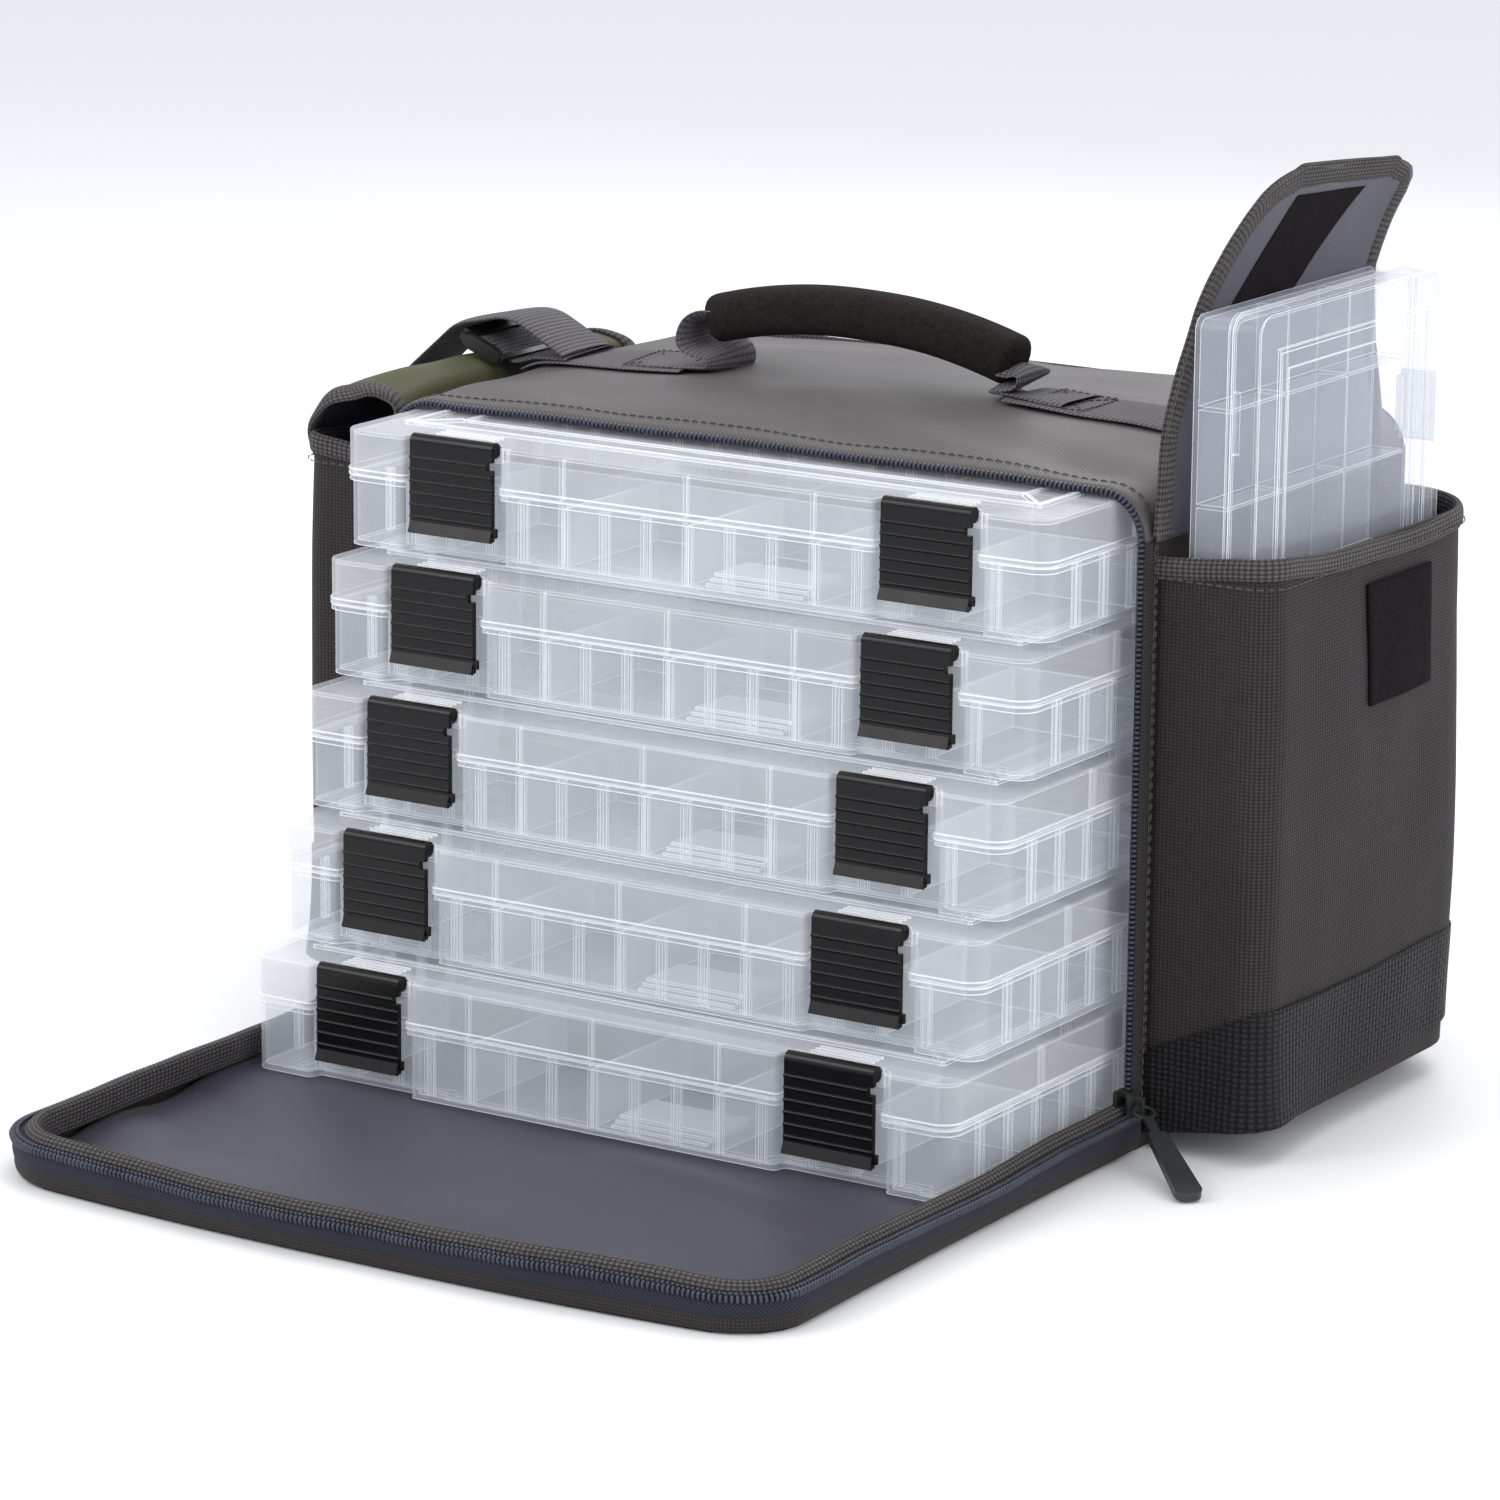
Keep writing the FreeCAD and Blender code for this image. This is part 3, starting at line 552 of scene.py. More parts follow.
def top_lift(x, y):
    """How far the soft top stands above its flat form."""
    across = max(0.0, 1 - (x / W) ** 4)
    deep = (y - FRONT) / (BACK - FRONT)
    crown = 0.008 * sin(pi * unit(deep) ** 0.9) * across
    crown += 0.0035 * (x / W) * deep * across
    dent = 0.0028 * hump(x, -0.105, 0.05) * hump(y, -0.03, 0.06)
    dent += 0.0022 * hump(x, 0.095, 0.05) * hump(y, -0.02, 0.06)
    soft = wave(x, y, 0.0, 9.0, 0.0032, 3) + wave(x, y, 0.2, 24.0, 0.0012, 8)
    pull = 0.0011 * sin((x * 0.6 + y) * 95 + 4 * wave(x, y, 0, 7, 1.0)) * hump(y, FRONT, 0.07)
    edge = min(1.0, (y - FRONT) / 0.02)
    return crown - dent + (soft + pull) * (0.25 + 0.75 * edge)


def edge_lift(x, y):
    """The same, fading out over the rounded side edges."""
    return top_lift(x, y) * (1 - 0.75 * unit((abs(x) - (W - 0.03)) / 0.03))


def top_seam_normal(p):
    return (0.0, 0.0, 1.0) if abs(p[0]) < W - 0.01 else (copysign(0.8, p[0]), 0.0, 0.6)


def build_top():
    path = bag_section()
    s = along(path)
    pts, uv = [], []
    for j, y in enumerate(depth_rows(0.0014, 58)):
        turn = TURN_IN[j] if j < 2 else 0.0
        lift = [edge_lift(x, max(y, FRONT)) + turn for x, z in path]
        pts.append([(x, y, z) for x, z in pushed(path, lift)])
        uv.append([(q, y) for q in s])
    panel = thick(smoothed(grid("top_panel", pts, uv, [TOP, LINING])), 0.0012, inner=1)
    sew(panel, "bag", "bag_top")
    seam_y = FRONT + 0.0085
    line = pushed(path, [edge_lift(x, seam_y) + 0.0002 for x, z in path])[2:-2]
    sew_row("top_stitches", [(x, seam_y, z) for x, z in line], top_seam_normal, "top_fabric")


def build_sides():
    ys = depth_rows(0.0015, 40)
    proud = W + 0.0004
    for name, sx in SIDES:
        pts, uv = [], []
        for z in linspace(0.0, SEAM, 44):
            row = []
            for j, y in enumerate(ys):
                inside = sin(pi * unit(z / SEAM)) * min(1, max(0, y - FRONT) / 0.03)
                out = 0.001 * inside + wave(y, z, 1.5 * sx, 12, 0.0015, 5) * inside
                row.append((sx * (W + (TURN_IN[j] if j < 2 else out)), y, z))
            pts.append(row)
            uv.append([(y, z) for y in ys])
        if sx < 0:
            pts, uv = mirrored(pts), mirrored(uv)
        side = thick(smoothed(grid("side_panel_" + name, pts, uv, [SIDE, LINING])), 0.0014, inner=1)
        sew(side, "bag", "bag_shell" if sx > 0 else None)
        for k, dy in enumerate((0.0048, 0.0066)):
            line = [(sx * proud, FRONT + dy, z) for z in linspace(ZIP_Z, SEAM, 60)]
            sew_row("side_stitches_%s_%d" % (name, k), line, (sx, 0, 0), "shell_fabric")
        seam = [(sx * proud, y, SEAM + 0.001) for y in linspace(FRONT + 0.004, BACK - 0.004, 60)]
        sew_row("seam_stitches_" + name, seam, (sx, 0, 0.2), "shell_fabric")
    xs, ys = linspace(-W + 0.001, W - 0.001, 24), linspace(FRONT - 0.001, BACK - 0.002, 18)
    floor = [[(x, y, 0.0035) for x in xs] for y in ys]
    sew(thick(grid("bag_floor", floor, plan(floor), [LINING, HEAVY]), 0.0034, inner=1), "bag")


def build_back():
    """Padded back panel with a sunken seam grid and a corded edge."""
    hem, pad_t = 0.003, 0.0085
    lim, top = W - hem, H - hem
    pts, uv = [], []
    xs = linspace(-W + hem, lim, 66)
    for z in linspace(hem, top, 50):
        row = []
        for x in xs:
            cx, cz = max(0, abs(x) - (lim - ROUND)), max(0, z - (top - ROUND))
            px, pz = x, z
            if cx > 0 and cz > 0 and hypot(cx, cz) > ROUND:
                k = ROUND / hypot(cx, cz)
                px = copysign(lim - ROUND + cx * k, x)
                pz = top - ROUND + cz * k
            edge = unit(min(lim - abs(x), z - hem + 1e-4, top - z) / 0.016)
            puff = pad_t * sqrt(edge * (2 - edge))
            quilt = 1 - 0.35 * hump(abs(x), 0.062, 0.004) - 0.35 * hump(z, 0.145, 0.004)
            soft = wave(x, z, 4, 16, 0.0014, 2) * edge
            row.append((px, BACK - 0.0006 + puff * max(quilt, 0.2) + soft, pz))
        pts.append(row[::-1])
        uv.append([(-x, z) for x in xs][::-1])
    pad = thick(smoothed(grid("back_pad", pts, uv, [POCKET, LINING])), pad_t, inner=1)
    sew(pad, "bag", "bag_back")
    r = 0.0022
    prof = [(r * cos(a), BACK - 0.001 + r * sin(a)) for a in linspace(0, TAU, 9)[:-1]]
    under = round_path([(W - 0.002, 0.0015), (-W + 0.002, 0.0015)], [0, 0], 0.01)[1:-1]
    loop = np.vstack([bag_section(0.002, bottom=0.001), under])
    piping = swept("back_piping", loop, prof, lambda a, b, c: (a, c, max(b, 0.0012)), TAPE, ring=True)
    ride(piping, "bag")


# ---- zip ----
def bead(verts, faces, centre, t, n, b, size):
    """One tooth: a rounded capsule of eight sides lying across the path."""
    base = len(verts)
    for h, r in ((-1.0, 0.0), (-0.82, 0.62), (-0.35, 0.96), (0.3, 1.0), (0.8, 0.66), (1.0, 0.0)):
        middle = centre + n * size[1] * h
        if r == 0:
            verts.append(middle)
            continue
        for q in range(8):
            a = TAU * q / 8
            verts.append(middle + t * size[0] * r * cos(a) + b * size[2] * r * sin(a))
    for q in range(8):
        k = (q + 1) % 8
        faces.append((base, base + 1 + k, base + 1 + q))
        for o in (base + 1, base + 9, base + 17):
            faces.append((o + q, o + k, o + 8 + k, o + 8 + q))
        faces.append((base + 25 + q, base + 25 + k, base + 33))


def teeth(name, points, out_of, size=(0.00092, 0.0021, 0.00165)):
    """Zip teeth along a path; out_of gives each tooth's own two cross directions."""
    pitch = 0.0022
    p = resample(points, 0.0007)
    s = along(p)
    verts, faces = [], []
    for i in range(int(s[-1] / pitch)):
        q = (i + 0.5) * pitch
        c = spot_at(q, s, p)
        t = spot_at(q + 0.0008, s, p) - c
        t /= max(norm(t), 1e-9)
        n, b = out_of(c, t)
        bead(verts, faces, c, t, n, b, size)
    return make(name, verts, faces, TOOTH, [(v[0] + v[1], v[2]) for v in verts])


def forward(c, t):
    n = np.array([0.0, -1.0, 0.0])
    return n, np.cross(t, n)


def outward(c, t):
    """Out from the door's edge and up."""
    n = np.array([t[1], -t[0], 0.0])
    n = n / norm(n) * 0.55 + np.array([0, 0, 0.83])
    return n, np.cross(t, n)


def build_zip():
    path = bag_section(0.0022, bottom=ZIP_Z)
    line = pushed(path, [edge_lift(x, FRONT) if z > SEAM else 0.0 for x, z in path])
    ride(teeth("zip_teeth_bag", [(x, COIL_Y, z) for x, z in line], forward), "bag")
    prof = [(0.0, COIL_Y + 0.0012), (0.0002, COIL_Y + 0.006), (0.0, COIL_Y + 0.016)]
    tape = swept("zip_tape_bag", np.array(line), prof, lambda a, b, c: (a, c, b), NAVY)
    sew(thick(tape, 0.001, 0.0), "bag", "zip_bag_half")


# ---- door, in its lowered place ----
def slack(x, y):
    """Where the soft door's edge really lies: front bowed out, left corner drawn in, right corner spread."""
    far = unit((DOOR_HI[1] - y) / (DOOR_HI[1] - DOOR_LO[1]))
    bow = 0.0115 * far ** 3 * max(0.0, 1 - (abs(x + 0.01) / (W * 1.06)) ** 2.4)
    drawn = 0.007 * far ** 1.3 * unit(-x / W) ** 2
    spread = 0.0045 * far ** 2 * unit(x / W) ** 2
    return x + drawn + spread, y - bow


def door_path():
    """Plan of the door's edge, from the left hinge end round the front to the right hinge end."""
    start, front = FRONT - 0.0008, DOOR_LO[1]
    flat = round_path([(-W, start), (-W, front), (W, front), (W, start)], [0, 0.036, 0.027, 0])
    return np.array([slack(x, y) for x, y in flat])


def rim_sway(x, y):
    """Soft unevenness of the door's rim: (outwards, upwards)."""
    far = unit((DOOR_HI[1] - y) / 0.05)
    out = (wave(x, y, 0.0, 11, 0.003, 21) + wave(x, y, 0.3, 30, 0.001, 5)) * far
    up = (wave(x, y, 0.7, 9, 0.0034, 33) - 0.0006) * far
    return out, up


def rim_line(out_by, height, free=1.0):
    """A line round the door's rim; free is how much of the rim's unevenness it takes."""
    path = door_path()
    sway = [rim_sway(x, y) for x, y in path]
    edge = pushed(path, [-(out_by + out * free) for out, up in sway])
    return [(x, y, height + up * free) for (x, y), (out, up) in zip(edge, sway)]


def rim_sheet(name, profile, mats, ring=False):
    """A strip of cloth that runs round the door's edge; profile is (outward, height)."""
    columns = [[(x, y, max(z, 0.0004)) for x, y, z in rim_line(o, h, unit(h / 0.018))] for o, h in profile]
    w = along(profile)
    return grid(name, list(zip(*columns)), [[(a, b) for b in w] for a in along(door_path())], mats, ring)


def door_floor_z(x, y):
    """Top surface of the lining on the lowered door."""
    soft = wave(x, y, 0.0, 7, 0.003, 2) + wave(x * 0.6, y, 0.4, 19, 0.0014, 7)
    fold = 0.0016 * sin(y * 60 + x * 18 + 3 * wave(x, y, 0, 6, 1.0)) * hump(abs(x), 0.16, 0.06)
    side = 0.003 * unit((0.012 - (W - 0.0045 - abs(x))) / 0.012) ** 2
    front = 0.003 * unit((0.014 - (y - DOOR_LO[1] - 0.004)) / 0.014) ** 2
    hinge = 0.0006 * hump(y, -0.135, 0.03)
    open_part = unit((-0.245 - y) / 0.05)
    crease = 0.0022 * exp(-((y + 0.262 + 0.2 * (x - 0.06)) / 0.01) ** 2) * hump(x, 0.08, 0.07)
    dip = 0.0018 * hump(x, -0.02, 0.05) * hump(y, -0.33, 0.035)
    loose = soft * (0.5 + 0.9 * open_part) + fold * (0.6 + 0.8 * open_part)
    return PANEL_HI[2] + 0.0002 + loose + side + front + hinge + crease - dip * open_part


def door_spot(u, y, front, inset):
    """A point of the door's panel: u from -1 to 1 across, rounded at its front corners."""
    r = (0.034 if u < 0 else 0.025) - inset
    d = max(0.0, (front + r) - y)
    lim = W - inset - (r - sqrt(max(r * r - d * d, 0.0)))
    return slack(lim * u, y)


def door_sheet(across, deep, front, inset, height):
    """Points and cloth coordinates of a sheet over the door's panel."""
    pts = []
    for i in range(deep):
        y = PANEL_HI[1] + (front - PANEL_HI[1]) * i / (deep - 1)
        spots = [door_spot(2 * j / (across - 1) - 1, y, front, inset) for j in range(across)]
        pts.append([(x, yy, height(x, yy)) for x, yy in spots])
    return pts, plan(pts)


def build_door():
    front = DOOR_LO[1] + 0.0036
    pts, uv = door_sheet(110, 82, front, 0.0036, lambda x, y: max(door_floor_z(x, y), 0.0022))
    lining = thick(grid("door_lining", mirrored(pts), mirrored(uv), [LINING, SIDE]), 0.001, inner=1)
    pts, uv = door_sheet(51, 41, front - 0.003, 0.0006, lambda x, y: 0.0004 + abs(wave(x, y, 2, 9, 0.0012, 4)))
    outside = thick(grid("door_outside", pts, uv, [SIDE, SIDE]), 0.0012, 1.0)
    rim = [(-0.004, 0.0006), (0.0004, 0.0006), (0.0022, 0.003), (0.0026, 0.0062), (0.0016, 0.008)]
    rim = thick(smoothed(rim_sheet("door_rim", rim, [SIDE, SIDE])), 0.0012, 0.0)
    tape = [(0.0014, 0.006), (0.003, 0.008), (0.0034, 0.012), (0.0026, 0.015), (0.0008, 0.0166),
            (-0.002, 0.016)]
    tape = thick(smoothed(rim_sheet("zip_tape_door", tape, NAVY)), 0.001, 0.0)
    bind = [(-0.0006, 0.0158), (-0.002, 0.0186), (-0.0046, 0.0208), (-0.0072, 0.0212), (-0.0084, 0.0188),
            (-0.0078, 0.013), (-0.0066, 0.007), (-0.0056, 0.0068), (-0.0058, 0.012), (-0.004, 0.0158)]
    bind = smoothed(rim_sheet("door_edge_binding", bind, TAPE, ring=True))
    coil = teeth("zip_teeth_door", rim_line(0.003, 0.0156), outward)
    heads = teeth("zip_heads_door", rim_line(0.0012, 0.0172), outward, size=(0.0008, 0.001, 0.001))
    for piece, slot, node in ((coil, "zip_tape", None), (tape, "zip_tape", "zip_door_half"),
                              (rim, "shell_fabric", "door_gusset"), (bind, "binding", "door_binding"),
                              (heads, "zip_tape", None), (lining, "lining", "door_panel"),
                              (outside, "shell_fabric", None)):
        blend(apply(piece), "bag", "door", (0, -0.1225, 0), (0, -0.139, 0), slot)
        if node:
            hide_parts(node)
    path = door_path()
    inner = pushed(path, [0.0094] * len(path))
    seam = [q for p, q in zip(path, inner) if p[1] < DOOR_HI[1] - 0.012]
    seam = [(x, y, door_floor_z(x, y) + 0.0004) for x, y in seam]
    sew_row("door_stitches", seam, (0, 0, 1), "lining", "door", r=0.0003)


# ---- pockets ----
def pocket_path(out=0.0):
    """Plan of the right pocket from its front seam round to its back seam, as (x, y)."""
    x0, x1 = POCKET_LO[0], POCKET_HI[0] + out
    y0, y1 = POCKET_LO[1] - out, POCKET_HI[1] + out
    return round_path([(x0, y0), (x1, y0), (x1, y1), (x0, y1)], [0, 0.012 + out, 0.038 + out, 0])


def pocket_bulge(s, z):
    """How far the pocket's cloth stands out, s along its plan and z up."""
    t = unit((z - POCKET_LO[2]) / (POCKET_HI[2] - POCKET_LO[2]))
    mid = sin(pi * unit((s - 0.03) / 0.26)) ** 0.7
    full = sin(pi * t ** 1.15) * 0.0036 * mid
    soft = wave(s, z, 0.0, 8, 0.0042, 61) * (0.25 + 0.75 * t) * mid + wave(s * 1.5, z * 0.6, 0.5, 20, 0.0014, 9) * mid
    return full + soft * min(1.0, t * 4 + 0.2) * min(1.0, (1 - t) * 5 + 0.12)


def sided(name, pts, uv, mats, sx, ring=False):
    """The right-hand form, or its mirror image on the left."""
    if sx < 0:
        pts = mirrored([[(-p[0], p[1], p[2]) for p in row] for row in pts])
        uv = mirrored(uv)
    return grid(name, pts, uv, mats, ring)


def build_pocket(name, sx):
    path = pocket_path()
    n = normals2(path)
    s = along(path)

    pts, uv = [], []
    for z in linspace(0.0135, POCKET_HI[2] + 0.006, 72):
        pts.append([(x, y, z) for x, y in pushed(path, [-pocket_bulge(q, z) for q in s])])
        uv.append([(q, z) for q in s])
    body = thick(sided("pocket_body_" + name, pts, uv, [POCKET, LINING], sx), 0.0015, inner=1)
    sew(body, "bag", "pocket_" + name)

    x0 = POCKET_LO[0]
    flat = []
    for k in linspace(0.0, 1.0, 8):
        z = 0.0145 + 0.001 * sin(k * 3)
        flat.append([(x0 + (x - x0) * k, y, z) for x, y in pocket_path(-0.0015)])
    base = thick(sided("pocket_bottom_" + name, flat, plan(flat), [LINING, HEAVY], sx), 0.0014, inner=1)
    sew(base, "bag")

    prof = [(-0.0021, 0.0), (-0.0024, 0.004), (-0.0022, 0.0085), (-0.0008, 0.0104), (0.001, 0.0102),
            (0.0022, 0.008), (0.0023, 0.004), (0.0019, 0.0004)]
    w = along(prof)
    pts, uv = [], []
    for q, (x, y), m in zip(s, path, n):
        sag = wave(q, 0, 3, 14, 0.0018, 11) + 0.004 * hump(q, 0.055, 0.03) - 0.0022 * hump(q, 0.17, 0.07)
        b = -pocket_bulge(q, RIM_Z) - wave(q, 1, 0, 20, 0.0012, 4)
        pts.append([(x + m[0] * (b - o), y + m[1] * (b - o), RIM_Z - 0.0025 + h + sag) for o, h in prof])
        uv.append([(q, k) for k in w])
    rim = smoothed(sided("pocket_rim_" + name, pts, uv, TAPE, sx, ring=True))
    sew(rim, "bag", "pocket_binding_" + name)

    pts, uv = [], []
    for k in linspace(0.0, 1.0, 26):
        row = []
        for q, (x, y), m in zip(s, path, n):
            f = min(q / 0.052, 1.0)
            top = 0.042 + 0.0235 * f + 0.0008 * sin(q * 40)
            low = 0.0068 + 0.009 * f + 0.0115 * max(0.0, (q - 0.06) / (s[-1] - 0.06))
            z = low + (top - low) * k
            flare = 0.0012 + 0.0042 * (1 - k) ** 2 * hump(q, 0.058, 0.03) + wave(q, z, 0, 20, 0.001, 17)
            b = -max(pocket_bulge(q, z), 0.0) * 0.8 - flare - 0.0004
            row.append((x + m[0] * b, y + m[1] * b, z))
        pts.append(row)
        uv.append([(q, p[2]) for q, p in zip(s, row)])
    band = thick(sided("pocket_band_" + name, pts, uv, HEAVY, sx), 0.0014)
    sew(band, "bag", "pocket_base_" + name)

    ys = linspace(PATCH_LO[1], PATCH_HI[1] + 0.002, 14)
    where = np.interp(ys, path[:, 1], s)
    pts = []
    for z in linspace(PATCH_LO[2] - 0.001, PATCH_HI[2] + 0.001, 14):
        pts.append([(POCKET_HI[0] + pocket_bulge(q, z) + 0.0006, y, z) for q, y in zip(where, ys)])
    uv = [[p[1:] for p in row] for row in pts]
    patch = thick(sided("loop_square_" + name, pts, uv, FUZZ, sx), 0.0011, 1.0)
    sew(patch, "bag", "loop_patch_" + name)

    def facing(p):
        return (sx, 0, 0) if abs(p[0]) > POCKET_HI[0] - 0.004 else (0, -1 if p[1] < 0 else 1, 0)

    line = pushed(path, [-(pocket_bulge(q, RIM_Z) + 0.0026) for q in s])
    line = [(sx * x, y, RIM_Z - 0.0005) for x, y in line]
    sew_row("pocket_stitches_" + name, line, facing, "binding")


# ---- flaps ----
FLAP_LEN = 0.148
NEAR_EDGE = ([0, 0.045, 0.07, 0.09, 0.108, 0.122, 0.133, 0.14, 0.145, FLAP_LEN],
             [-0.114, -0.1125, -0.104, -0.0955, -0.087, -0.0785, -0.0695, -0.0605, -0.049, -0.033])
FAR_EDGE = ([0, 0.03, 0.06, 0.095, 0.115, 0.13, 0.139, 0.145, FLAP_LEN],
            [0.092, 0.084, 0.073, 0.067, 0.071, 0.0745, 0.0735, 0.068, 0.056])


def flap_edges(t):
    """Near and far edge (y) of the flap, t metres up from the seam."""
    return float(np.interp(t, *NEAR_EDGE)), float(np.interp(t, *FAR_EDGE))


def flap_lean(t, y):
    """Distance out from the seam line (x) of the standing flap: against the small box, then free above it."""
    k = t / FLAP_LEN
    free = max(0.0, (t - 0.094) / 0.054)
    lean = 0.002 + 0.005 * min(t / 0.098, 1.0) ** 1.5 + 0.016 * free ** 1.25
    soft = wave(y, t, 0.0, 14, 0.0016, 71) * min(1.0, t / 0.05)
    roll = 0.0016 * sin(k * 5.0 + y * 22) * free
    return lean + soft + roll + wave(y, t, 0.5, 34, 0.0007, 13) * k


def flap_point(t, y, off=0.0):
    """A point of the standing right flap; off is its distance in front of the cloth."""
    droop = 0.075 * max(0.0, y + 0.04) * (t / FLAP_LEN) ** 3
    return (W + flap_lean(t, y) + off, y, SEAM + t - droop)


FACE_X = POCKET_HI[0]
SHUT = round_path([(W + 0.0012, SEAM + 0.002), (W + 0.006, SEAM + 0.019), (W + 0.02, SEAM + 0.0235),
                   (W + 0.044, SEAM + 0.016), (FACE_X + 0.0045, SEAM - 0.004), (FACE_X + 0.0048, SEAM - 0.11)],
                  [0, 0.006, 0.016, 0.016, 0.012, 0], 0.0015)
SHUT_S = along(SHUT)
SHUT_N = normals2(SHUT)


def shut_point(t, y, off=0.0):
    """The same cloth folded shut over the left pocket, outer face outwards."""
    x, z = [np.interp(t, SHUT_S, SHUT[:, k]) for k in (0, 1)]
    nx, nz = [np.interp(t, SHUT_S, SHUT_N[:, k]) for k in (0, 1)]
    ripple = (wave(y, t, 2.0, 12, 0.0036, 44) + wave(y, t, 1.0, 30, 0.0012, 4)) * min(1.0, t / 0.012)
    crest = 1 - 0.28 * hump(y, -0.118, 0.028) - 0.22 * hump(y, 0.094, 0.03)
    tuck = 0.02 * hump(y, -0.119, 0.01) * min(1.0, t / 0.05)
    if z > SEAM:
        z = SEAM + (z - SEAM) * crest
    d = max(ripple, -0.0015) + off
    return (-(x + nx * d - tuck), y, z + nz * d)


def flap_sheet(place, t0, t1):
    """Points and cloth coordinates of the flap between t0 and t1, a little inside its edges."""
    inset, rows, cols = 0.0008, 46, 60
    pts, uv = [], []
    for i in range(rows):
        t = t0 + (t1 - t0) * i / (rows - 1)
        a, b = flap_edges(t)
        a, b = a + inset, b - inset
        ys = [a + (b - a) * j / (cols - 1) for j in range(cols)]
        pts.append([place(t, y) for y in ys])
        uv.append([(y, t) for y in ys])
    return pts, uv


def flap_outline():
    """The flap's free edge in its own plane, as (y, t), near edge up, across the tip and down."""
    up, down = [], []
    for k in np.concatenate([linspace(0, 0.85, 46), linspace(0.86, 1.0, 26)]):
        t = 0.002 + (FLAP_RISE - 0.002) * k
        a, b = flap_edges(t)
        up.append((a, t))
        down.append((b, t))
    return resample(np.array(up + down[::-1]), 0.004)


def edge_tape(name, place):
    """Ribbed tape folded over the flap's edge."""
    w, thickness = 0.012, 0.002
    path = flap_outline()
    n = normals2(path)
    s = along(path)
    face = [(w, thickness), (w * 0.5, thickness * 1.25), (0.001, thickness)]
    prof = face + [(-0.0008, 0.0)] + [(d, -h) for d, h in face[::-1]] + [(w * 0.9, 0.0)]
    across = along(prof)
    pts, uv = [], []
    for q, (y, t), m in zip(s, path, n):
        ripple = wave(q, 0, 0, 26, 0.0026, 5) + wave(q, 2, 0, 60, 0.0008, 5)
        lift = [h + ripple * 0.55 * (1 - d / w * 0.6) for d, h in prof]
        pts.append([place(max(t - m[1] * d, 0.0), y - m[0] * d, off) for (d, h), off in zip(prof, lift)])
        uv.append([(q, k) for k in across])
    return apply(smoothed(grid(name, pts, uv, TAPE, ring=True)))


def part_of(name, whole, keep):
    """A new piece with only those faces of the whole whose middle passes the test."""
    me = whole.data
    layer = me.uv_layers.active
    vert_uv = {loop.vertex_index: tuple(layer.data[loop.index].uv) for loop in me.loops}
    faces = [tuple(p.vertices) for p in me.polygons if keep(p.center)]
    used = sorted({v for f in faces for v in f})
    index = {v: k for k, v in enumerate(used)}
    faces = [tuple(index[v] for v in f) for f in faces]
    return make(name, [me.vertices[v].co for v in used], faces, TAPE, [vert_uv[v] for v in used])


def build_flap(name, sx, place):
    fold_t = FOLD_Z - SEAM
    root, tip = "flap_root_" + name, "flap_tip_" + name
    if sx > 0:
        bends = {root: ((W, 0, SEAM), (W, 0, SEAM + 0.01)), tip: ((0, 0, FOLD_Z - 0.006), (0, 0, FOLD_Z + 0.006))}
    else:
        bends = {root: ((-W, 0, SEAM), (-(W + 0.01), 0, SEAM)), tip: ((0, 0, SEAM + 0.006), (0, 0, SEAM - 0.008))}
    for part, t0, t1, before in ((root, 0.0, fold_t, "bag"), (tip, fold_t, FLAP_RISE - 0.001, root)):
        pts, uv = flap_sheet(place, t0, t1)
        if sx > 0:
            pts, uv = mirrored(pts), mirrored(uv)
        piece = apply(thick(grid(part, pts, uv, [OLIVE, LINING]), 0.0016, inner=1))
        blend(piece, before, part, *bends[part], "flap_fabric")
        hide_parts(part)

    def past_fold(c):
        return c[2] > FOLD_Z if sx > 0 else c[2] < SEAM

    whole = edge_tape("whole_edge", place)
    tape = part_of("flap_edge_" + name, whole, past_fold)
    low = part_of("flap_edge_root_" + name, whole, lambda c: not past_fold(c))
    bpy.data.objects.remove(whole)
    blend(low, "bag", root, *bends[root], "binding")
    blend(tape, root, tip, *bends[tip], "binding")
    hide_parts("flap_binding_" + name)

    lay = 0.0004 if sx > 0 else -0.0022
    pts, uv = [], []
    for k in linspace(0, 1, 22):
        t = fold_t + 0.034 + 0.044 * k
        ys = linspace(-0.066 + 0.036 * k, -0.01 + 0.044 * k, 30)
        pts.append([place(t, y, lay) for y in ys])
        uv.append([(y, t) for y in ys])
    strip = thick(grid("hook_square_" + name, pts, uv, FUZZ), 0.0014, 1.0 if sx > 0 else 0.0)
    sew(strip, tip, "hook_strip_" + name)


# ---- handle, webbing and strap ----
def ribbon(name, line, width, thickness, twist=None, edge=0.0, seed=0, narrow=None):
    """A woven strap along a 3-D centre line; width lies along Y unless twisted. Rounded section.

    edge curls its two edges; narrow gives its gathered width along its length."""
    p = resample(line, 0.003)
    s = along(p)
    d = directions(p)
    half = width / 2
    rounded = thickness / 2 * (1 - 0.5 * abs(linspace(-1, 1, 13)) ** 8)
    prof = [(a * half, t) for a, t in zip(linspace(-1, 1, 13), rounded)]
    prof += [(a * half, -t) for a, t in zip(linspace(1, -1, 13), rounded)]
    pts, uv = [], []
    for i in range(len(p)):
        up = np.cross((0.0, 1.0, 0.0), d[i])
        up /= norm(up)
        side = np.cross(d[i], up)
        t = twist(s[i] / s[-1]) if twist else 0.0
        side, up = side * cos(t) + up * sin(t), up * cos(t) - side * sin(t)
        slim = narrow(s[i] / s[-1]) if narrow else 1.0
        row = []
        for u, v in prof:
            cup = edge * (u / half) ** 2 + (1 - slim) * half * 0.9 * (u / half) ** 2
            row.append(p[i] + side * u * slim + up * (v + cup + wave(s[i], u, seed, 28, 0.0009, seed)))
        pts.append(row)
        uv.append([(s[i], u) for u, v in prof])
    return apply(smoothed(grid(name, pts, uv, WEB, ring=True)))


